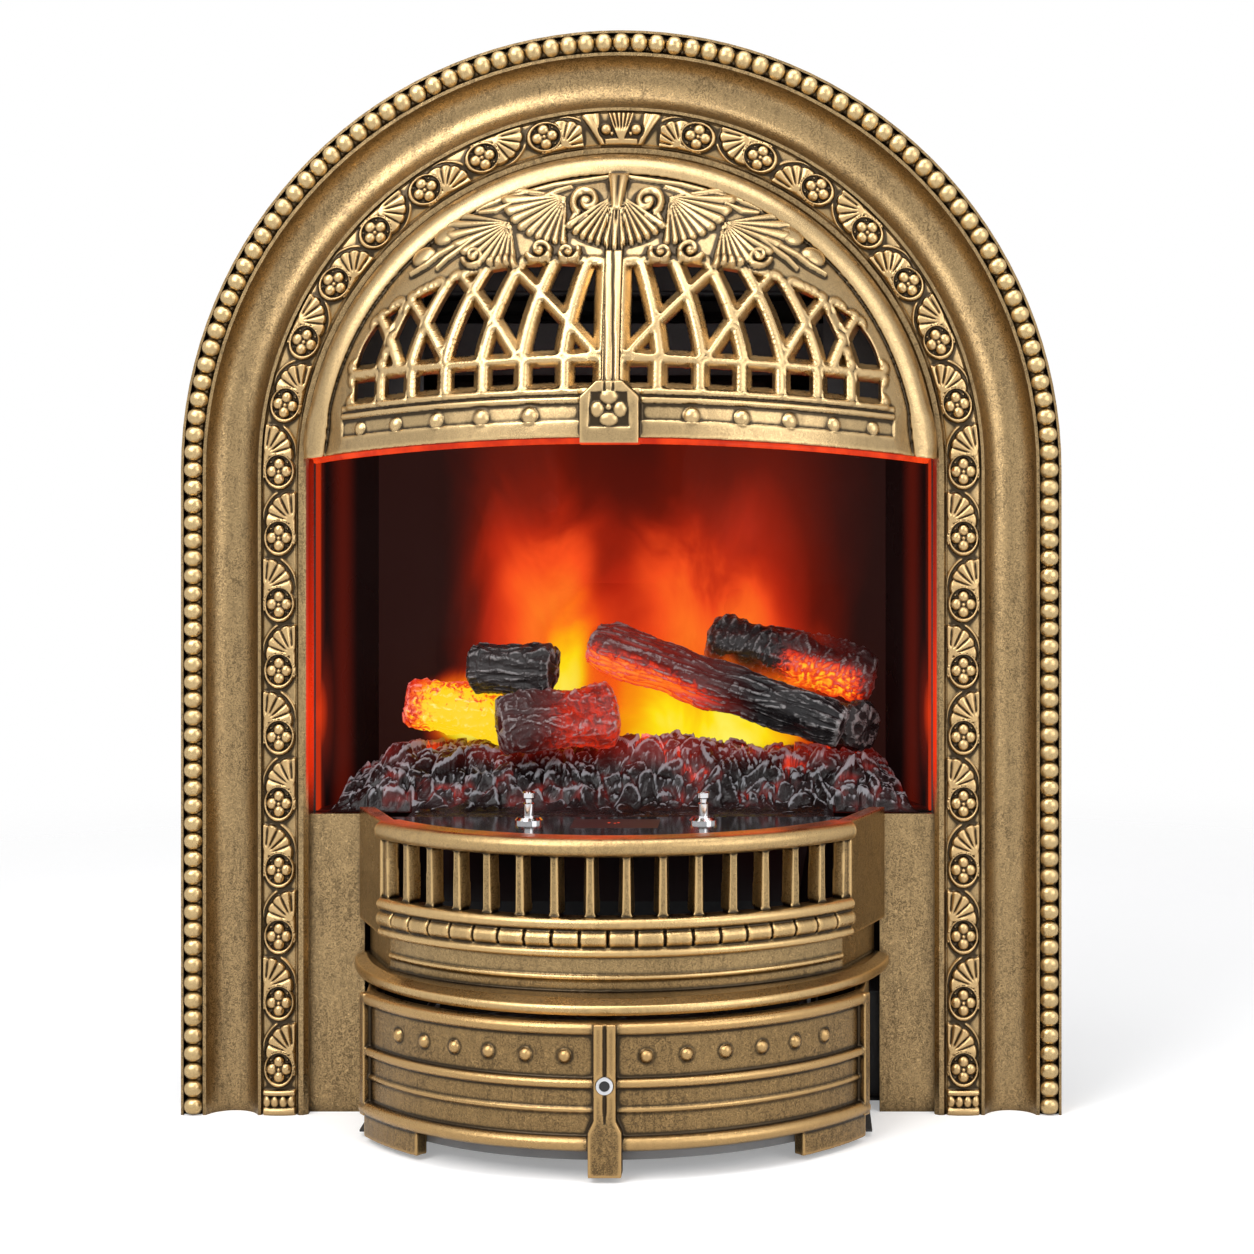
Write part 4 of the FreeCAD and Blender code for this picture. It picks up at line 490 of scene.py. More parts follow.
def roof_glow(look):
    """Red light under the roof, brightest at its front."""
    strength = look.span(look.axes()[1], -0.05, 0.11, 1, 0.2)
    look.light(look.ramp(strength, (0, (0.06, 0.003, 0.001)), (1, (0.8, 0.05, 0.006))), 0.9)


def floor_glow(look):
    """Faint patches of red light on the floor."""
    cloud = look.span(look.noise(30, detail=3), 0.4, 0.7, 0, 0.5)
    look.light(look.mix(cloud, BLACK, (0.3, 0.01, 0.002)), 0.5)


# Materials of the fire

def charcoal():
    """Charred lumps: dark glassy skin with painted highlights along its fine wrinkles, red light in the gaps
    and painted firelight on the heap's crest.
    """
    look = Look("charcoal", specular=0.15)
    _, y, z = look.axes()
    wrinkle = look.noise(260, detail=3, rough=0.6, warp=1.5)
    patch = look.noise(38, detail=3)
    base = look.mix(look.span(patch, 0.35, 0.7), (0.007, 0.004, 0.004), (0.026, 0.019, 0.02))
    # Painted highlight: pale grey along the wrinkles' fine ridges, in place of glints
    ash_and_highlight = look.span(look.stored("rise"), 0.16, 0.5, 0, 0.55)
    near = look.span(y, -0.02, 0.06, 0.15, 1)
    heat = look.times(look.stored("gap"), near, look.span(patch, 0.46, 0.66))
    # Painted firelight from the flames along the heap's crest
    crest = look.times(look.span(z, 0.19, 0.204), look.span(patch, 0.35, 0.6, 0.08, 0.33))
    look.shade(
        base_color=look.mix(ash_and_highlight, base, (0.42, 0.43, 0.46)),
        roughness=look.span(wrinkle, 0.35, 0.7, 0.14, 0.34),
    )
    stops = (0, BLACK), (0.35, (0.16, 0.006, 0.003)), (0.7, (0.7, 0.03, 0.005)), (1, (1, 0.1, 0.01))
    look.light(look.ramp(look.most(heat, crest), *stops))
    look.bump(wrinkle, 0.5, 0.7)
    return look.material


def bark(name, heat=None, tint=(1, 0.3, 0.03), specular=0.22):
    """Burnt wood: black scales with ash on the ridges; heat tells where it glows."""
    look = Look(name, specular=specular)
    fine = look.noise(210, detail=5, rough=0.65, warp=1)
    patch = look.noise(26, detail=3)
    base = look.mix(look.span(patch, 0.35, 0.68), (0.007, 0.006, 0.007), (0.04, 0.036, 0.036))
    ash_and_highlight = look.times(look.span(look.stored("rise"), 0.12, 0.5), look.span(fine, 0.36, 0.6))
    look.shade(
        base_color=look.mix(ash_and_highlight, base, (0.26, 0.25, 0.25)),
        roughness=look.span(fine, 0.35, 0.7, 0.22, 0.5),
    )
    if heat:
        stops = (0, BLACK), (0.25, (0.12, 0.006, 0.003)), (0.55, (0.75, 0.03, 0.005)), (0.8, (1, 0.16, 0.01))
        look.light(look.ramp(heat(look, fine), *stops, (1, tint)))
    look.bump(fine, 0.7, 1)
    return look.material


def left_heat(look, fine):
    """The log at the left is alight all through, redder at its outer end and along its top."""
    x, _, z = look.axes()
    torn = look.swing(fine, 0.05)
    inner = look.span(look.plus(x, torn), -0.134, -0.116, 0.42, 1)
    line = look.plus(z, look.times(x, 0.136), torn)
    return look.times(inner, look.span(line, 0.219, 0.228, 1, 0.6))


def long_heat(look, fine):
    """The long log glows along its lower side at the left and shines red there."""
    x, _, z = look.axes()
    line = look.plus(z, look.times(x, 0.336), look.swing(fine, 0.02))
    under = look.span(line, 0.25, 0.26, 0.9, 0.3)
    left = look.span(x, 0.02, 0.08, 1, 0)
    return look.times(under, left, look.span(look.stored("rise"), -0.3, 0.5, 1, 0.6))


def right_heat(look, fine):
    """The log at the right burns in its hollows along its outer half."""
    x, _, z = look.axes()
    ragged = look.plus(x, look.swing(fine, 0.04))
    outer = look.times(look.span(ragged, 0.082, 0.1), look.span(ragged, 0.13, 0.142, 1, 0.3))
    line = look.plus(z, look.times(x, 0.258))
    hollow = look.span(look.stored("rise"), -0.4, 0.5, 1, 0.5)
    return look.times(outer, hollow, look.span(line, 0.276, 0.289, 1, 0.1))


def centre_heat(look, fine):
    """Red light shines through the middle log's inner end."""
    end = look.span(look.axes()[0], -0.056, -0.03, 0.1, 0.5)
    return look.times(end, look.span(fine, 0.3, 0.65, 1, 0.55))


def vapour(name, middle, reach, base, top, stops, thick, grain):
    """Lit vapour between two heights: thick and bright at its foot, torn to wisps above."""
    look = Look(name, 1, specular=0)
    x, _, z = look.axes()
    sway = look.swing(look.noise(14, detail=2, stretch=(1, 1, 0.7)), 0.06)
    off = look.away(look.plus(x, sway), middle * MM)
    body = look.span(off, reach * 0.2 * MM, reach * MM, 1, 0)
    torn = look.noise(grain, rough=0.5, stretch=(1, 1, 0.6), warp=0.9)
    ragged = look.times(look.minus(0.58, torn), 0.35 * (top - base) * MM)
    rise = look.span(look.plus(z, ragged), base * MM, top * MM, 1, 0)
    wisp = look.span(look.plus(torn, look.times(rise, 0.5)), 0.5, 0.9)
    foot = look.span(z, (base - 12) * MM, base * MM)
    head = look.times(look.span(z, (top - 22) * MM, top * MM, 1, 0), look.span(rise, 0, 0.3))
    density = look.times(body, wisp, foot, head)
    heat = look.times(rise, body, look.span(torn, 0.3, 0.65, 0.6, 1), look.span(density, 0, 0.6, 0.25, 1))
    look.shade(base_color=BLACK, alpha=look.times(density, thick, clamp=True))
    look.light(look.ramp(heat, *stops))
    return look.material


# Forms that carving is made of

def smooth_step(value, low, high):
    t = np.clip((value - low) / (high - low), 0, 1)
    return t * t * (3 - 2 * t)


def half_round(off, half):
    """Profile of a rounded bar: 1 along its middle, 0 from its edges on."""
    return np.sqrt(np.clip(1 - (off / half) ** 2, 0, None))


def pointed(off, half):
    """Profile of a pointed bar: 1 along its middle, 0 from its edges on."""
    return np.clip(1 - np.abs(off) / half, 0, 1)


def highest(*forms):
    return np.maximum.reduce(forms)


def dome(a, b, radius_a, radius_b, height):
    return height * np.sqrt(np.clip(1 - (a / radius_a) ** 2 - (b / radius_b) ** 2, 0, None))


def ridge(a, b, start, end, width, height):
    """A rounded ridge along a straight line, tapering from its start's width to its end's."""
    way = np.array(end) - np.array(start)
    length = np.hypot(*way)
    t = np.clip(((a - start[0]) * way[0] + (b - start[1]) * way[1]) / length ** 2, 0, 1)
    off = np.hypot(a - start[0] - t * way[0], b - start[1] - t * way[1])
    return height * half_round(off, width[0] + (width[1] - width[0]) * t)


def curve_ridge(u, v, points, widths, height):
    """A ridge along a line of points."""
    spans = zip(points, points[1:], widths, widths[1:])
    return highest(*[ridge(u, v, start, end, (near, far), height) for start, end, near, far in spans])


# Frame ornament

def along_frame(radius, distance):
    """Point and outward direction on the left half of a line round the arch, by distance from the floor."""
    turn = np.clip((distance - SPRING) / radius, 0, None)
    x = -radius * np.cos(turn)
    z = np.where(distance < SPRING, distance, SPRING + radius * np.sin(turn))
    return x, z, -np.cos(turn), np.sin(turn)


def fuller(value):
    """Swells a round outline a little towards a square one."""
    return np.sign(value) * np.abs(value) ** 0.9


def make_beads(material):
    """A row of pearls in the channel round the frame's edge."""
    length = 2 * SPRING + math.pi * BEAD_RADIUS
    pitch = length / BEAD_COUNT
    rows, columns = 13, 22
    upright = np.linspace(0, math.pi, rows)
    around = np.linspace(0, 2 * math.pi, columns, endpoint=False)
    across = BEAD_ACROSS * np.outer(fuller(np.sin(upright)), fuller(np.cos(around))).ravel()
    along = BEAD_ALONG * np.outer(fuller(np.sin(upright)), fuller(np.sin(around))).ravel()
    y = BEAD_MIDDLE - BEAD_DEPTH * np.outer(np.cos(upright), np.ones(columns)).ravel()
    pearl = np.array(grid_faces(rows, columns, closed=True))
    points, faces = [], []
    for index in range(BEAD_COUNT):
        distance = pitch * (index + 0.5)
        mirrored = distance > length / 2
        if mirrored:
            distance = length - distance
        x, z, out_x, out_z = along_frame(BEAD_RADIUS, distance)
        x = x + out_x * across + out_z * along
        z = np.maximum(z + out_z * across - out_x * along, 0.1)
        points.append(np.column_stack((-x if mirrored else x, y, z)))
        faces += (pearl + index * rows * columns).tolist()
    piece = mesh_piece("bead_row", np.concatenate(points), faces)
    face_outwards(piece.data)
    settle(piece, "insert", material, "frame_brass")


def shell_fan(a, b, side):
    """Five ribs that spread from one side of the band above a ring."""
    pivot_a, pivot_b = 7.6 * side, 9.2
    far, up = (pivot_a - a) * side, b - pivot_b
    reach = np.hypot(1.12 * far, up)
    angle = np.degrees(np.arctan2(far, up))
    wave = np.interp(angle, (-26, 4, 26, 48, 70, 104), range(6))
    rib = np.abs(np.sin(np.pi * wave)) ** 0.4
    rib = 1 - (1 - rib) * smooth_step(reach, 3, 6.5)
    tip = smooth_step(reach, 16.4 + 1.2 * rib, 15 + 1.2 * rib)
    fan = (0.15 + 1.4 * rib) * tip * smooth_step(angle, -30, -20) * smooth_step(angle, 108, 100)
    stem = ridge(a, b, (8.6 * side, -3), (7.4 * side, 10), (0.9, 2.6), 1.4)
    border = 0.9 * pointed(reach - 19.3, 0.8) ** 0.5
    return highest(fan, stem, border * smooth_step(angle, 24, 32) * smooth_step(angle, 92, 84))


def flower_ring(a, b):
    """Height inside an oval ring with four petals, and where the ring is."""
    outer = np.hypot(a / 8.7, b / 10.35)
    inner = np.hypot(a / 7.35, (b - 0.9) / 8.45)
    share = np.clip((1 - outer) / np.maximum((1 - outer) + (inner - 1), 1e-6), 0, 1)
    ring = np.where((outer < 1) & (inner > 1), 1.7 * np.sin(np.pi * share) ** 0.55, 0)
    flower = [dome(a, b, 1.5, 1.5, 1.9)]
    for da, db in ((4.15, 0.2), (-4.15, 0.2), (0, 4.5), (0, -4.1)):
        flower.append(dome(a - da, b - db, 3.3, 3.5, 1.95))
    for da in (-4.7, 4.7):
        for db in (-4.6, 5.4):
            flower.append(0.8 * pointed(np.abs(a - da) + np.abs(b - db), 1.5))
    return np.maximum(ring, np.where(inner < 1, highest(*flower), 0)), outer < 1


def leg_foot(a, b):
    """Base bar, four upright lobes and a collar at the bottom of the band."""
    lobes = [dome(a - centre, b - 7.6, 2.7, 3.6, 1.7) for centre in (-7.1, -2.4, 2.4, 7.1)]
    return highest(1.7 * half_round(b - 2.1, 2.5), 1.6 * half_round(b - 12.6, 1.9), *lobes)


def crown_leaf(a, t):
    """The palmette over the middle: a leaf split by ribs, with an eye either side."""
    side = np.abs(t)
    leaf = np.full(a.shape, 1.25)
    spine = 0.35 + 6 * np.clip((a + 7) / 16, 0, 1) ** 0.8
    for share in (0, 0.42, 0.84):
        leaf = leaf - 1.15 * pointed(side - spine * share, 0.8) ** 0.8 * smooth_step(a, -2, 2)
    leaf = leaf * smooth_step(side, spine + 1, spine + 0.2)
    long_leaf = ridge(a, side, (-9, 11), (8.5, 18.5), (1.5, 3.2), 1.35)
    short_leaf = ridge(a, side, (-2, 12.5), (8.5, 14), (0.8, 2.2), 1.3)
    base = 1.1 * smooth_step(a, -5.2, -6.2) * smooth_step(side, 10, 9)
    eye = np.maximum(dome(side - 8.6, a + 0.4, 3.2, 3.2, 1.9), dome(side - 5.2, a + 3, 1.3, 1.3, 1))
    eye_room = np.hypot((side - 8.6) / 4.6, (a + 0.6) / 5.2) < 1
    return np.where(eye_room & (leaf < 0.3), eye, highest(leaf, long_leaf, short_leaf, base))


def frieze_height(a, b, total):
    """Height of the carving, a across the band and b along it from the floor."""
    first, leg_pitch, arch_pitch = 26, 37.7, 37.3
    rings = [first + leg_pitch * k for k in range(10)] + [SPRING + arch_pitch * k for k in range(1, 8)]
    height = np.zeros(a.shape)
    for index, centre in enumerate(rings):
        near = (b > centre - 14) & (b < centre + 34)
        side = 1 if index % 2 else -1
        height[near] = np.maximum(height[near], shell_fan(a[near], b[near] - centre, side))
    for centre in rings:
        near = np.abs(b - centre) < 11
        ring, inside = flower_ring(a[near], b[near] - centre)
        height[near] = np.where(inside, ring, height[near])
    top = b > total - 22.5
    height[top] = crown_leaf(a[top], total - b[top])
    foot = b < 15
    height[foot] = leg_foot(a[foot], b[foot])
    return height


def make_frieze(material):
    """The carved band: rings of four petals between shell fans, from each foot to the crown."""
    total = SPRING + FRIEZE_RADIUS * math.pi / 2
    columns = 2 * int(FRIEZE_HALF / FRIEZE_STEP) + 1
    across = np.linspace(-FRIEZE_HALF, FRIEZE_HALF, columns)
    along = np.linspace(0, total, int(total / FRIEZE_STEP) + 1)
    b, a = np.meshgrid(along, across, indexing="ij")
    edge = smooth_step(np.abs(a), FRIEZE_HALF, FRIEZE_HALF - 1)
    crown = FRIEZE_CROWN * (1 - (a / FRIEZE_HALF) ** 2)
    lift = (RELIEF * frieze_height(a, b, total) + 0.3) * edge - 0.4 * (1 - edge)
    x, z, out_x, out_z = along_frame(FRIEZE_RADIUS, b)
    left = np.stack((x + out_x * a, 4 - crown - lift, z + out_z * a), axis=-1)
    right = left[::-1] * np.array((-1, 1, 1))
    strip = np.concatenate((left, right[1:]))
    faces = [face[::-1] for face in grid_faces(len(strip), columns)]
    piece = mesh_piece("frieze_band", strip.reshape(-1, 3), faces)
    store_rise(piece.data, 40)
    settle(piece, "insert", material, "frame_brass")


# Hood

def photo_place(points):
    """Where points in millimetres fall in the photo, in its pixels."""
    x, y, z = points.T
    nearer = EYE_DISTANCE / (EYE_DISTANCE + y)
    u = EYE_U + (FLOOR_U + x / PIXEL - EYE_U) * nearer
    v = EYE_V + (FLOOR_V - z / PIXEL - EYE_V) * nearer
    return u, v


def folded_place(points):
    """The photo's pixels of points that are brought to the left side of the spine."""
    x, y, z = points.T
    return photo_place(np.column_stack((-np.abs(x), y, z)))


def relief_fan(u, v, pivot, left, down, first, last, ribs, height):
    """Ribs spread from a pivot; angles run from straight left (0) to straight down (90)."""
    du, dv = pivot[0] - u, v - pivot[1]
    angle = np.degrees(np.arctan2(dv, du))
    reach = np.hypot(du / left, dv / down)
    wave = (angle - first) / (last - first) * ribs
    rib = np.abs(np.sin(np.pi * wave)) ** 0.75
    rim = 0.93 + 0.07 * rib
    rise = 0.45 + 0.55 * np.clip(reach, 0, 1)
    inside = (angle > first) & (angle < last) & (reach < rim)
    tip = np.clip((rim - reach) / 0.07, 0, 1) ** 0.5
    return np.where(inside, height * rise * (0.1 + 0.9 * rib) * (0.35 + 0.65 * tip), 0)


def volute(u, v, centre, radius, turn, start, height):
    """A coiled ridge that runs in to a dome at its middle; turn is 1 or -1."""
    du, dv = u - centre[0], v - centre[1]
    reach = np.hypot(du, dv)
    angle = (turn * np.arctan2(dv, du) - math.radians(start)) % (2 * math.pi)
    result = dome(du, dv, radius * 0.3, radius * 0.3, height)
    for lap in range(2):
        wound = angle + 2 * math.pi * lap
        line = radius * (0.86 - 0.088 * wound)
        coil = height * half_round(reach - line, radius * (0.25 - 0.010 * wound))
        result = np.maximum(result, np.where(line > radius * 0.12, coil, 0))
    return result


def tilted_dome(u, v, centre, cosine, sine, long, short, height):
    du, dv = u - centre[0], v - centre[1]
    return dome(du * cosine - dv * sine, dv * cosine + du * sine, long, short, height)


def hood_level(points):
    """Height of points above the hood's arched lower edge, as at the middle."""
    x, _, z = points.T
    return z + x ** 2 / HOOD_ARCH


def hood_band(points):
    """Mouldings along the hood's lower edge: two ridges, a sunk band for the bosses and a plain strip."""
    level = hood_level(points)
    side = np.abs(points[:, 0])
    ends = smooth_step(side, 154.5, 153) * smooth_step(side, 16, 17)
    ridges = np.maximum(1.1 * half_round(level - 409.2, 1.7), 1.2 * half_round(level - 405.2, 1.6))
    sunk = smooth_step(level, 403.8, 403) * smooth_step(level, 393.8, 394.6)
    return (ridges - sunk) * ends


def crown_fan(u, v):
    """The fan that hides the spine's top, and the stem from which it spreads."""
    fan = relief_fan(u, v, (SPINE_U, 197), 62, 51, 30, 94.3, 7, 4.2)
    line = [(SPINE_U, 174), (SPINE_U, 190), (SPINE_U, 206)]
    return np.maximum(fan, curve_ridge(u, v, line, (6.5, 4.2, 3), 3.6))


def hood_relief(points):
    """Height of the hood's ornament over its plain sphere, the same on both sides of the spine."""
    u, v = folded_place(points)
    border = [(342, 356), (356, 322), (380, 288), (409, 257), (450, 221), (504, 200), (556, 186), (612, 178)]
    long_spray = [(470, 240), (455, 248), (440, 256), (428, 266), (412, 276)]
    short_spray = [(478, 238), (462, 250), (448, 260), (438, 270)]
    fans = ((566, 198), 64, 48, -12, 92, 10, 3.4), ((511, 224), 67, 46, -13, 100, 11, 3.8)
    coils = (
        ((587, 203), 17, 1, 120, 3.6),
        ((541, 252), 15, -1, 200, 3.8),
        ((568, 254), 13, 1, -30, 3.4),
        ((475, 258), 13, -1, 190, 3.6),
    )
    leaves = ((447, 236), 0.85, 0.53, 14, 8, 3.4), ((424, 257), 0.8, 0.6, 13, 7, 3)
    ridges = (
        ([(577, 213), (572, 222), (580, 224), (588, 218)], (3, 3.5, 3, 2), 2.6),
        (long_spray, (2.6, 2.8, 2.6, 2.4, 1.4), 3),
        (short_spray, (2.2, 2.4, 2.2, 1.4), 2.8),
        (border, (1.5, 1.6, 1.7, 1.8, 2, 2, 2, 1.6), 2.2),
        ([(530, 196), (545, 198), (558, 192), (572, 188)], (1.5, 2.8, 2.4, 1), 2.2),
        ([(480, 214), (496, 211), (512, 205)], (1.5, 2.8, 1.4), 2.2),
    )
    forms = [crown_fan(u, v)]
    for make, rows in ((relief_fan, fans), (volute, coils), (tilted_dome, leaves), (curve_ridge, ridges)):
        forms += [make(u, v, *row) for row in rows]
    return highest(*forms) + hood_band(points)


def keystone_relief(points):
    """The keystone's sunk panel with four petals, and the grooves up the spine above it."""
    u, v = photo_place(points)
    aside = u - KEYSTONE_U
    off = np.abs(aside)
    panel = highest(off - 18.5 - 0.06 * (v - 392), 391 - v, v - 426.5)
    groove = pointed(off - 4.4, 1.5) * smooth_step(v, 394, 390)
    height = np.minimum(-1.2 * smooth_step(panel, 0.9, -0.9), -1.5 * groove ** 0.7)
    raised = highest(
        dome(aside, v - 407, 3.6, 3.6, 1.8),
        dome(aside, v - 396.5, 9.6, 8, 2.5),
        dome(off - 11.3, v - 409, 7.4, 8.2, 2.5),
        dome(aside, v - 419, 9.8, 7.6, 2.5),
        1.9 * half_round(off, 3.2) * smooth_step(v, 400, 396),
    )
    return np.where(panel < 0, height + raised, height)


def wider_bosses(points, chosen):
    """How far points move when each boss on the band swells about its own middle."""
    row = points[chosen]
    row = row[np.argsort(row[:, 0])]
    breaks = np.flatnonzero(np.diff(row[:, 0]) > 2) + 1
    move = np.zeros(points.shape)
    for boss in np.split(row, breaks):
        size = np.ptp(boss[:, 0]) / 2
        if size <= 1.5:
            continue
        off = points - (boss.min(axis=0) + boss.max(axis=0)) / 2
        off[:, 1] = 0
        away = np.hypot(off[:, 0], off[:, 2])
        fade = np.clip((2.4 * size - away) / (1.2 * size), 0, 1)
        move += off * (0.18 * np.minimum(1, size / np.maximum(away, 0.01)) * fade)[:, None]
    return move


def make_hood(material):
    """The hood with its ornament raised, its bars bevelled and its keystone carved."""
    piece = cast("hood", 0.7)
    points = mesh_points(piece.data)
    normals = point_values(piece.data, "normal")
    out = points - HOOD_CENTRE
    reach = np.linalg.norm(out, axis=1)
    out = out / reach[:, None]
    facing = np.einsum("ij,ij->i", normals, out)
    above = reach - HOOD_SPHERE
    x, _, height = points.T
    level = hood_level(points)
    from_arch = np.hypot(x, height - SPRING)
    spine = np.abs(x) < SPINE_HALF
    lift = np.zeros(len(points))

    # Ornament on the skin, and a raised line along each bar
    skin = (np.abs(above) < 1.2) & (facing > 0.75)
    lift[skin] = hood_relief(points[skin])
    walls = (np.abs(facing + 0.1) < 0.5) & (np.abs(above + 3.1) < 1.9) & (height > 400) & (from_arch < 160)
    bars = skin & (level > 408) & (height < 500)
    near = edge_distance(points[bars], points[walls], 6)
    lift[bars] += 1.2 * smooth_step(near, 0, 2.4) * smooth_step(near, 6, 3)

    # Bosses that sit in the sunk band, and the spine with its keystone
    bosses = ~skin & (np.abs(level - 398.5) < 6) & (above > -1.2) & (facing > -0.3)
    lift[bosses] = hood_band(points[bosses])
    carved = spine & (above > 1.2) & (facing > 0.6) & (height < 526)
    lift[carved] = keystone_relief(points[carved])

    # The fan over the spine's top
    crown = spine & (above > 0.3) & (facing > -0.5) & (height > 480) & (from_arch < 165.5)
    u, v = folded_place(points[crown])
    hidden = smooth_step(v, 251, 246)
    fan = np.maximum(crown_fan(u, v), 0.4) - above[crown]
    lift[crown] = lift[crown] * (1 - hidden) + fan * hidden

    # Bars that widen to the back, and wider bosses
    flank = (np.abs(facing) < 0.8) & (level > 409) & (above < 0.5) & (from_arch < 162)
    spread = np.where(flank, 0.75 * np.clip(-above, 0, 5), 0)
    sideways = (normals - out * facing[:, None]) * spread[:, None]
    wider = wider_bosses(points, bosses & (np.abs(x) > 17))
    set_points(piece.data, points + out * lift[:, None] + sideways + wider)
    store_rise(piece.data, 14)
    settle(piece, "insert", material, "hood_brass", "hood")


# Grate and drawer front

def make_grate(material):
    """The grate with bars that widen to the back, and gaps between the reels under them."""
    piece = cast("front_grate", 0.55)
    points = mesh_points(piece.data)
    x, y, height = points.T
    level = np.zeros(len(points))
    out = np.column_stack((x, y - GRATE_AXIS, level))
    reach = np.linalg.norm(out, axis=1)
    out = out / reach[:, None]
    along = np.column_stack((-out[:, 1], out[:, 0], level))
    turn = np.degrees(np.arctan2(out[:, 0], -out[:, 1]))
    behind = GRATE_RADIUS - reach

    # Bars, moved sideways by how far each point is from its bar's middle
    aside = np.radians(turn - BAR_PITCH * (np.floor(turn / BAR_PITCH) + 0.5)) * reach
    room = np.radians(BAR_PITCH / 2) * reach
    share = np.clip(aside / BAR_HALF, -1, 1) * np.clip((room - np.abs(aside)) / (room - BAR_HALF), 0, 1)
    share *= smooth_step(height, 132, 134.5) * (1 - smooth_step(height, 162, 164.5))
    bars = (behind > -1) & (behind < 12) & (y < -45)
    spread = np.where(bars, 0.4 * np.clip(behind - 1.5, 0, 9) - 1, 0) * share

    # Gaps between the reels
    off = np.radians(turn - REEL_PITCH * np.round(turn / REEL_PITCH)) * reach
    reels = (height > 116.4) & (height < 125.4) & (behind < 1) & (np.abs(turn) < 52)
    sink = np.where(reels, 2 * np.sqrt(pointed(off, 0.95)), 0)
    set_points(piece.data, points + along * spread[:, None] - out * sink[:, None])
    store_rise(piece.data, 16)
    settle(piece, "insert", material, "grate_brass", "front_grate")


def make_drawer_front(material):
    """The drawer front with a pointed groove down its middle post."""
    piece = cast("drawer_front", 0.6)
    points = mesh_points(piece.data)
    low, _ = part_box("drawer_front")
    front = points[:, 1] < low.y / MM + 6
    half = np.maximum(1.3 * smooth_step(points[:, 2], 26, 40), 0.01)
    points[:, 1] += np.where(front, 1.4 * pointed(points[:, 0], half) ** 0.6, 0)
    set_points(piece.data, points)
    store_rise(piece.data, 16)
    settle(piece, "drawer", material, "grate_brass", "drawer_front")


# Embers

def heap_room(x, y):
    """How far inside the heap's outline a point is: narrow between the lower panels, wide behind them."""
    side = np.abs(x)
    panel_back = 14.5
    behind = HEAP_WIDE - 0.19 * np.clip(y - 16, 0, None) - side
    behind = np.minimum(behind, np.where(side > HEAP_NARROW, y - panel_back, 99))
    return np.minimum(np.where(y >= panel_back, behind, HEAP_NARROW - side), y + 22.5)


def mound_height(x, y):
    """Height of the ember mound: a flat apron, then a steep front that is lower at the sides."""
    front = 0.06 * smooth_step(y, -22, -6) + 0.94 * smooth_step(y, 4, 48)
    side = smooth_step(np.abs(x), 172, 126)
    hump = 9 * np.exp(-((x - 22) / 44) ** 2) * smooth_step(y, 16, 40) * smooth_step(y, 68, 52)
    return 30 * front * (0.4 + 0.6 * side) + hump


def coal_cells(x, y, generator):
    """Broken lumps over the heap: their height, and how close each point is to a gap."""
    count = 620
    seed_y = generator.uniform(-24, 104, count)
    seed_x = generator.uniform(-1, 1, count) * 174
    tilt = generator.normal(0, 0.32, (count, 2))
    rise = generator.uniform(-2, 2.4, count)
    bend_x = x + 2.2 * np.sin(y / 3.7 + x / 9)
    bend_y = y + 2.2 * np.sin(x / 4.1 - y / 8)
    spread = np.hypot(bend_x[..., None] - seed_x, (bend_y[..., None] - seed_y) * 1.25)
    order = np.argpartition(spread, 1, axis=-1)
    nearest = np.take_along_axis(spread, order[..., :2], -1)
    room = nearest[..., 1] - nearest[..., 0]
    own = order[..., 0]
    slope = tilt[own, 0] * (x - seed_x[own]) + tilt[own, 1] * (y - seed_y[own])
    return rise[own] + slope + 1.5 * np.minimum(room, 2) - 2.2, np.exp(-room / 1.1)


def wrinkles(x, y, size, bend, seed):
    """Curling ridges over the heap, about one high."""
    height = np.empty(x.size)
    for index, (px, py) in enumerate(zip(x.ravel(), y.ravel())):
        spot = Vector((px / size, py / size, seed))
        bent = spot + noise.noise_vector(spot * 0.6) * bend
        height[index] = noise.ridged_multi_fractal(bent, 0.9, 2.1, 3, 1, 2)
    return height.reshape(x.shape) - 1


def make_embers(material):
    """A moulded heap of broken coal, drawn into ridges, with light in the gaps between its lumps."""
    along = np.arange(-22, 103.5, HEAP_STEP)
    across = np.arange(-HEAP_WIDE, HEAP_WIDE + 0.5, HEAP_STEP)
    y, x = np.meshgrid(along, across, indexing="ij")
    facet, gap = coal_cells(x, y, np.random.default_rng(11))
    folds = 1.5 * wrinkles(x, y, 9, 0.9, 3) + 0.75 * wrinkles(x, y, 3.8, 1.2, 8)
    room = heap_room(x, y)
    mound = mound_height(x, y)
    body = smooth_step(mound, 0.5, 9)
    z = mound + (facet + folds) * (0.1 + 0.9 * body)
    z = HEAP_FLOOR + np.clip(z, 0, np.maximum(35.5, mound + 4.5)) * smooth_step(room, 0, 6)
    faces = np.array(grid_faces(len(along), len(across)))
    faces = faces[(room.ravel() >= 0)[faces].all(axis=1)]
    used, faces = np.unique(faces, return_inverse=True)
    points = np.stack((x, y, z), axis=-1).reshape(-1, 3)[used]
    piece = mesh_piece("ember_heap", points, faces.reshape(-1, 4).tolist())
    store(piece.data, "gap", (gap * body).ravel()[used])
    store_rise(piece.data, 3)
    settle(piece, "insert", material, "char", "ember_bed")


# Logs

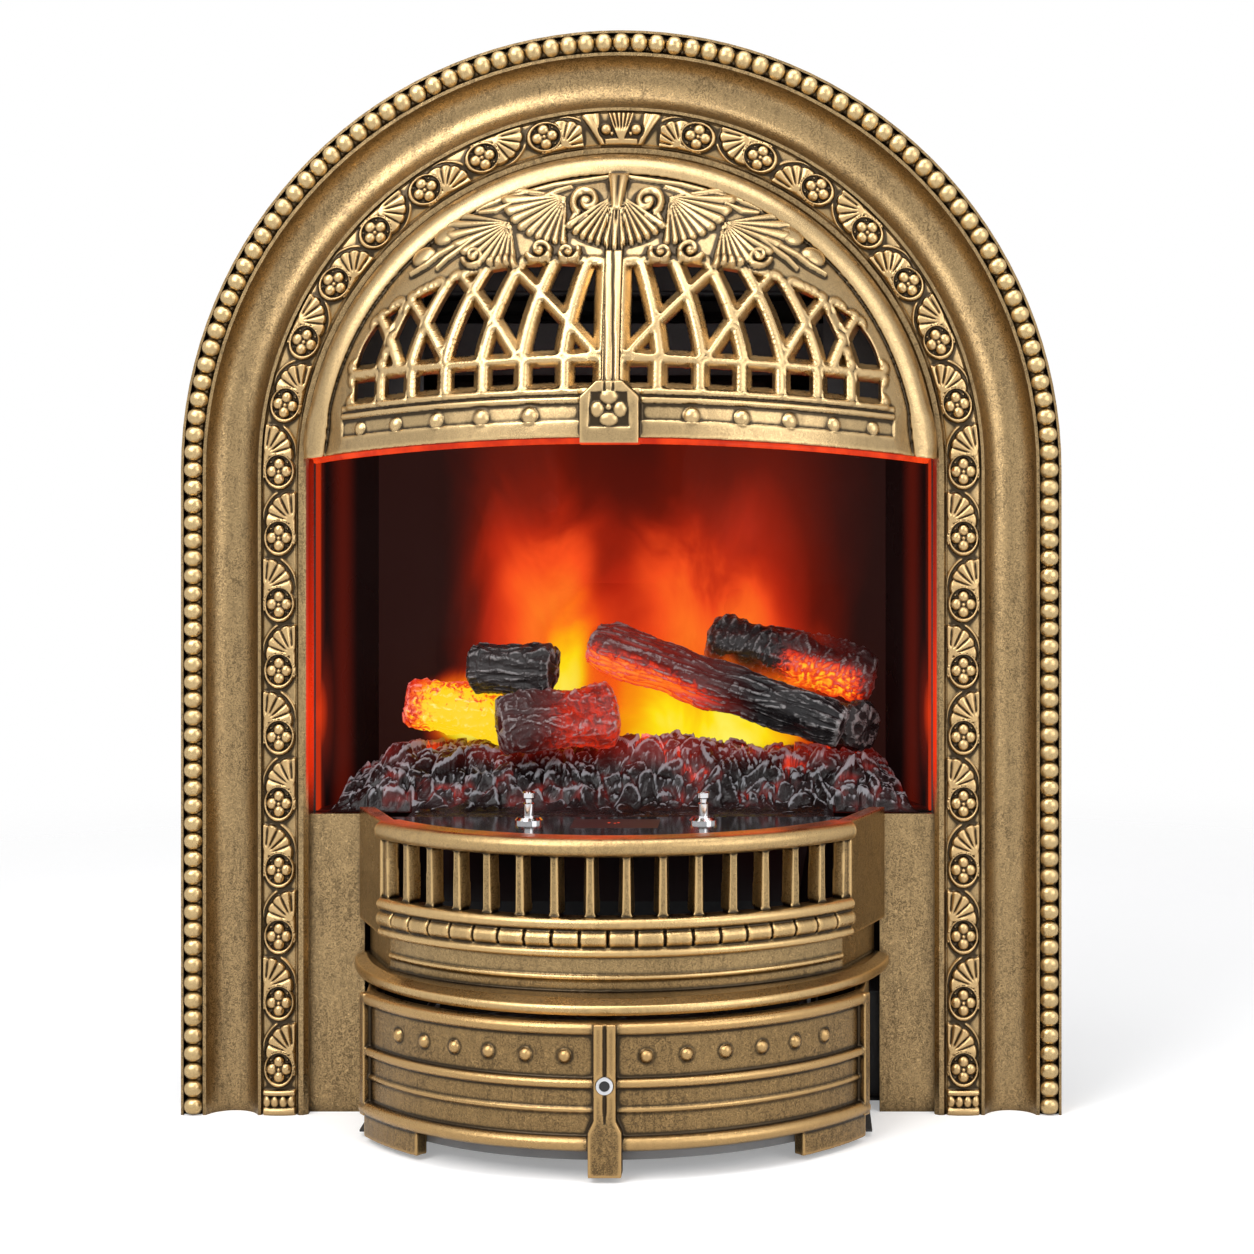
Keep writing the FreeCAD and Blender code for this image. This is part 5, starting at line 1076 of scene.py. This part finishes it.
def bark_depth(angle, t, length, seed, grain):
    """The bark's height round a log and along it, as a share of the log's radius."""
    around = Vector((math.cos(angle), math.sin(angle), 0))
    spot = around * grain[0] + Vector((0, 0, t * length / 20 * grain[1] + seed * 7))
    bent = spot + noise.noise_vector(spot * 0.8) * 0.55
    ribs = noise.ridged_multi_fractal(bent, 0.8, 2.1, 4, 1, 2) - 1
    lumps = noise.noise(around * 0.9 + Vector((0, 0, t * length / 26 + seed * 3)))
    facets = 0.06 * math.cos(3 * angle + seed) + 0.045 * math.cos(5 * angle + 2 * seed + 4 * t)
    checks = noise.cell(Vector((2.2 * angle + lumps, t * length / 9 + 0.6 * lumps, seed)))
    return 0.87 + 0.2 * lumps + 0.105 * ribs + facets + 0.03 * checks


def make_log(node, start, end, radii, seed, grain, material):
    """A burnt log with ribbed bark and broken ends; grain is how fine the ribs are round it and along it."""
    start, end = Vector(start), Vector(end)
    way = (end - start).normalized()
    side = way.cross(Vector((0, 0, 1))).normalized()
    up = side.cross(way)
    rows, columns = 130, 120
    length = (end - start).length
    points = []
    for row in range(rows):
        t = row / (rows - 1)
        closing = min(1, 0.78 + 4 * min(t, 1 - t))
        radius = (radii[0] + (radii[1] - radii[0]) * t) * closing
        bend = Vector((0, 0, 1.5 * math.sin(3.1 * t + seed)))
        for column in range(columns):
            angle = 2 * math.pi * column / columns
            ring = side * math.cos(angle) + up * math.sin(angle)
            depth = bark_depth(angle, t, length, seed, grain)
            points.append(start + way * (t * length) + ring * (radius * depth) + bend)
    faces = grid_faces(rows, columns, closed=True)
    for middle, outward, first in ((start, -1, 0), (start + way * length, 1, (rows - 1) * columns)):
        rim = points[first:first + columns]
        outer = list(range(first, first + columns))
        for share in (0.66, 0.33):
            inner = list(range(len(points), len(points) + columns))
            for place in rim:
                pulled = middle + (place - middle) * share
                points.append(pulled + way * (outward * noise.noise(pulled * 0.3) * 3))
            for column in range(columns):
                after = (column + 1) % columns
                faces.append((outer[column], outer[after], inner[after], inner[column]))
            outer = inner
        faces.append(tuple(outer))
    piece = mesh_piece("burnt_" + node, points, faces)
    face_outwards(piece.data)
    store_rise(piece.data, 5)
    settle(piece, "insert", material, "charred_wood", node)


def make_logs():
    black = bark("black_bark")
    left = bark("left_bark", left_heat, (1, 0.66, 0.01), 0.05)
    centre = bark("centre_bark", centre_heat)
    long = bark("long_bark", long_heat)
    right = bark("right_bark", right_heat, (1, 0.55, 0.02))
    make_log("left_glowing_log", (-131, 62, 227), (-65, 74, 218), (16, 18), 1, (1.6, 1.4), left)
    make_log("centre_log", (-72, 26, 217), (-6, 44, 225), (19.5, 19), 2, (1.7, 1.3), centre)
    make_log("right_end_log", (141, 50, 216), (103, 84, 217), (17, 15), 3, (1.6, 1.5), black)
    make_log("left_back_log", (-91, 56, 251), (-42, 44, 249), (16, 17), 4, (2.2, 0.9), black)
    make_log("long_log", (-20, 60, 265), (126, 27, 216), (16.5, 14.5), 5, (2.6, 0.55), long)
    make_log("right_log", (48, 84, 265), (145, 72, 240), (16.5, 17.5), 6, (1.1, 2.2), right)


# Lit vapour

def make_vapour_sheet(name, middle, half, low, high, y, seed, material):
    """A closed, billowing sheet of vapour, 6 mm thick, that narrows to its rim."""
    rows, columns = 36, 40
    front, back = [], []
    for row in range(rows):
        for column in range(columns):
            s = column / (columns - 1) * 2 - 1
            t = row / (rows - 1)
            x = middle + half * s
            z = low + (high - low) * t
            billow = noise.fractal(Vector((x / 40, z / 55, seed)), 0.8, 2, 3) * 7
            swell = 3 * math.sqrt(max(0, (1 - s * s) * 4 * t * (1 - t)))
            front.append((x, y + billow - swell, z))
            back.append((x, y + billow + swell, z))
    sheet = grid_faces(rows, columns)
    faces = sheet + [tuple(rows * columns + i for i in reversed(face)) for face in sheet]
    piece = mesh_piece(name, front + back, faces)
    joined = bmesh.new()
    joined.from_mesh(piece.data)
    bmesh.ops.remove_doubles(joined, verts=joined.verts, dist=0.02 * MM)
    joined.to_mesh(piece.data)
    joined.free()
    piece.visible_shadow = False
    settle(piece, "insert", material, "amber_lens")


def make_fire():
    """Lit vapour: a red haze at the back, plumes that rise from it and bright flames at the logs' feet."""
    dull = (0, (0.12, 0.004, 0.002)), (0.5, (0.5, 0.02, 0.006)), (1, (1, 0.09, 0.016))
    plume = (0, (0.6, 0.024, 0.006)), (0.35, (1, 0.085, 0.014)), (0.9, (1, 0.28, 0.02))
    flame = (
        (0, (0.75, 0.03, 0.004)),
        (0.25, (1, 0.15, 0.006)),
        (0.45, (1, 0.42, 0.004)),
        (0.65, (1, 0.76, 0.008)),
        (1, (1, 0.93, 0.16)),
    )
    sheets = (
        ("red_haze", 15, 105, 215, 400, 100, dull, 0.6, 12),
        ("left_plume", -48, 50, 222, 376, 95, plume, 1, 15),
        ("right_plume", 42, 58, 226, 374, 90, plume, 0.9, 15),
        ("left_flame", -96, 40, 203, 258, 88, flame, 0.9, 26),
        ("middle_flame", -36, 26, 200, 325, 80, flame, 0.75, 18),
        ("right_flame", 46, 84, 200, 292, 70, flame, 1, 18),
    )
    ceiling = 398
    for index, (name, middle, half, low, high, y, stops, thick, grain) in enumerate(sheets):
        look = vapour(name + "_look", middle, half, low + 6, high, stops, thick, grain)
        make_vapour_sheet(name, middle, half + 28, low - 8, min(high + 6, ceiling), y, index, look)


# Other nodes

def paint(material, *names):
    for name in names:
        set_material(nodes[name].data, material)


def paint_front():
    """What is seen from the front, apart from the castings that are made anew."""
    paint(brass("frame_antique", BRASS, 1.4, 9, glow=jamb_glow), "front_frame")
    paint(brass("panel_antique", BRASS, 1.6, 9), "left_lower_panel", "right_lower_panel")
    paint(enamel("back_enamel", back_glow, 0), "firebox_back")
    paint(enamel("side_enamel", side_glow), "firebox_left", "firebox_right")
    paint(enamel("roof_enamel", roof_glow), "firebox_roof")
    paint(enamel("floor_enamel", floor_glow), "firebox_floor")
    paint(coated("gloss_black", (0.012, 0.012, 0.013), 0.12, 0.03), "access_lid", "receiver_window")
    paint(display_look(), "display_panel")
    paint(brushed("chrome", (0.86, 0.86, 0.88), 0.1, (1, 1, 0.2)), "lift_knobs")
    paint(coated("pale_ring", (0.6, 0.61, 0.63), 0.3), "receiver_bezel")


def paint_casing():
    """The casing, the drawer and what is inside them."""
    paint(
        coated("black_coat", (0.03, 0.03, 0.032), 0.55),
        "front_plate", "casing_left", "casing_right", "casing_top", "casing_back", "casing_base",
        "left_runner", "right_runner", "heater_housing", "heater_motor", "heater_element", "heater_rotor",
    )
    paint(
        coated("dark_moulding", (0.04, 0.04, 0.043), 0.45),
        "fogger_base", "float_stem", "dock_plug", "dock_socket", "mist_duct", "mist_fan_frame",
        "mist_fan_rotor", "control_box", "control_box_lid", "mains_inlet", "switch_body",
    )
    zinc = brushed("zinc", (0.62, 0.63, 0.65), 0.32, (1, 0.05, 1))
    paint(zinc, "frame_screws", "left_slide_bar", "right_slide_bar")
    # Painted shade: the drawer tray is dark grey so that it reads as the shadow under the drawer front
    paint(coated("painted_shade_grey", (0.17, 0.17, 0.172), 0.5), "drawer_tray")
    paint(coated("milky_tub", (0.74, 0.77, 0.8), 0.4), "water_tub")
    paint(brushed("stainless", (0.7, 0.7, 0.71), 0.25, (1, 0.1, 1)), "fogger_discs")
    paint(coated("float_orange", (0.8, 0.28, 0.05), 0.35), "water_float")
    paint(coated("foot_rubber", (0.025, 0.025, 0.025), 0.8, 0.3), "base_feet")
    paint(brushed("aluminium", (0.74, 0.74, 0.75), 0.35, (0.1, 1, 1)), "light_bars")
    paint(lens_look(), "light_lenses")
    paint(brushed("bronze", (0.58, 0.42, 0.2), 0.35, (1, 1, 1)), "heater_bearing")
    paint(coated("board", (0.03, 0.18, 0.07), 0.4), "control_board")
    paint(coated("rocker_red", (0.55, 0.02, 0.015), 0.25), "switch_rocker")


# Stage, light and camera

def make_stage():
    """A pale floor that fades out into the background."""
    size = 2600
    corners = [(-size, -size, 0), (size, -size, 0), (size, size, 0), (-size, size, 0)]
    floor = mesh_piece("floor", corners, [(0, 1, 2, 3)])
    look = Look("pale_floor", 0.9, specular=0.1)
    reach = look.node("VectorMath", {0: look.place}, operation="LENGTH").outputs["Value"]
    seen = look.node("LightPath").outputs["Is Camera Ray"]
    look.shade(base_color=(0.8, 0.8, 0.8), alpha=look.span(reach, 0.7, 1.5, 1, 0))
    look.light(WHITE, look.times(seen, 0.3))
    set_material(floor.data, look.material)


def make_world():
    """White to the eye and in reflections, grey as a source of light."""
    world = bpy.data.worlds.new("studio")
    bpy.context.scene.world = world
    world.use_nodes = True
    tree = Nodes(world.node_tree)
    path = tree.node("LightPath").outputs
    seen = tree.most(path["Is Camera Ray"], path["Is Glossy Ray"], path["Is Transmission Ray"])
    background = world.node_tree.nodes["Background"].inputs
    tree.put(background["Color"], tree.mix(seen, (0.42, 0.42, 0.43), WHITE))
    background["Strength"].default_value = 1.0


def make_lamp(name, place, target, size, power):
    data = bpy.data.lights.new(name, "AREA")
    data.shape = "RECTANGLE"
    data.size, data.size_y = size
    data.energy = power
    lamp = new_object(name, data)
    lamp.location = place
    lamp.rotation_euler = (Vector(target) - Vector(place)).to_track_quat("-Z", "Y").to_euler()


def make_camera():
    data = bpy.data.cameras.new("camera")
    data.lens = 75.95
    data.sensor_width = 36
    data.shift_x = -0.1276
    data.shift_y = -0.153
    camera = new_object("camera", data)
    camera.location = (0.0941, -1.5, 0.3861)
    camera.rotation_euler = (math.pi / 2, 0, 0)
    bpy.context.scene.camera = camera


def make_scene():
    paint_front()
    paint_casing()
    make_beads(brass("bead_antique", (0.56, 0.4, 0.19), 0.4, 2.5, patina_and_shade=0.5))
    make_frieze(brass("frieze_antique", tinted(BRASS, 1.1), 0.6, 3, carved=0.55))
    make_hood(brass("hood_antique", (0.43, 0.3, 0.145), 0.6, 4, carved=0.5, glow=lip_glow))
    make_grate(brass("grate_antique", (0.35, 0.235, 0.103), 1.2, 5, carved=0.95, glow=rail_glow))
    make_drawer_front(brass("drawer_antique", (0.27, 0.17, 0.068), 1.6, 5, carved=0.95))
    make_embers(charcoal())
    make_logs()
    make_fire()
    make_stage()
    make_world()
    make_lamp("key", (-0.9, -1.3, 1.5), (0, 0, 0.35), (1.2, 1.2), 26)
    make_lamp("fill", (1.3, -1.2, 0.9), (0, 0, 0.3), (1.2, 1.4), 12)
    make_lamp("top", (0, -0.45, 1.9), (0, 0, 0.3), (1.6, 0.9), 18)
    make_camera()
    bpy.context.scene.view_settings.view_transform = "Standard"


make_scene()
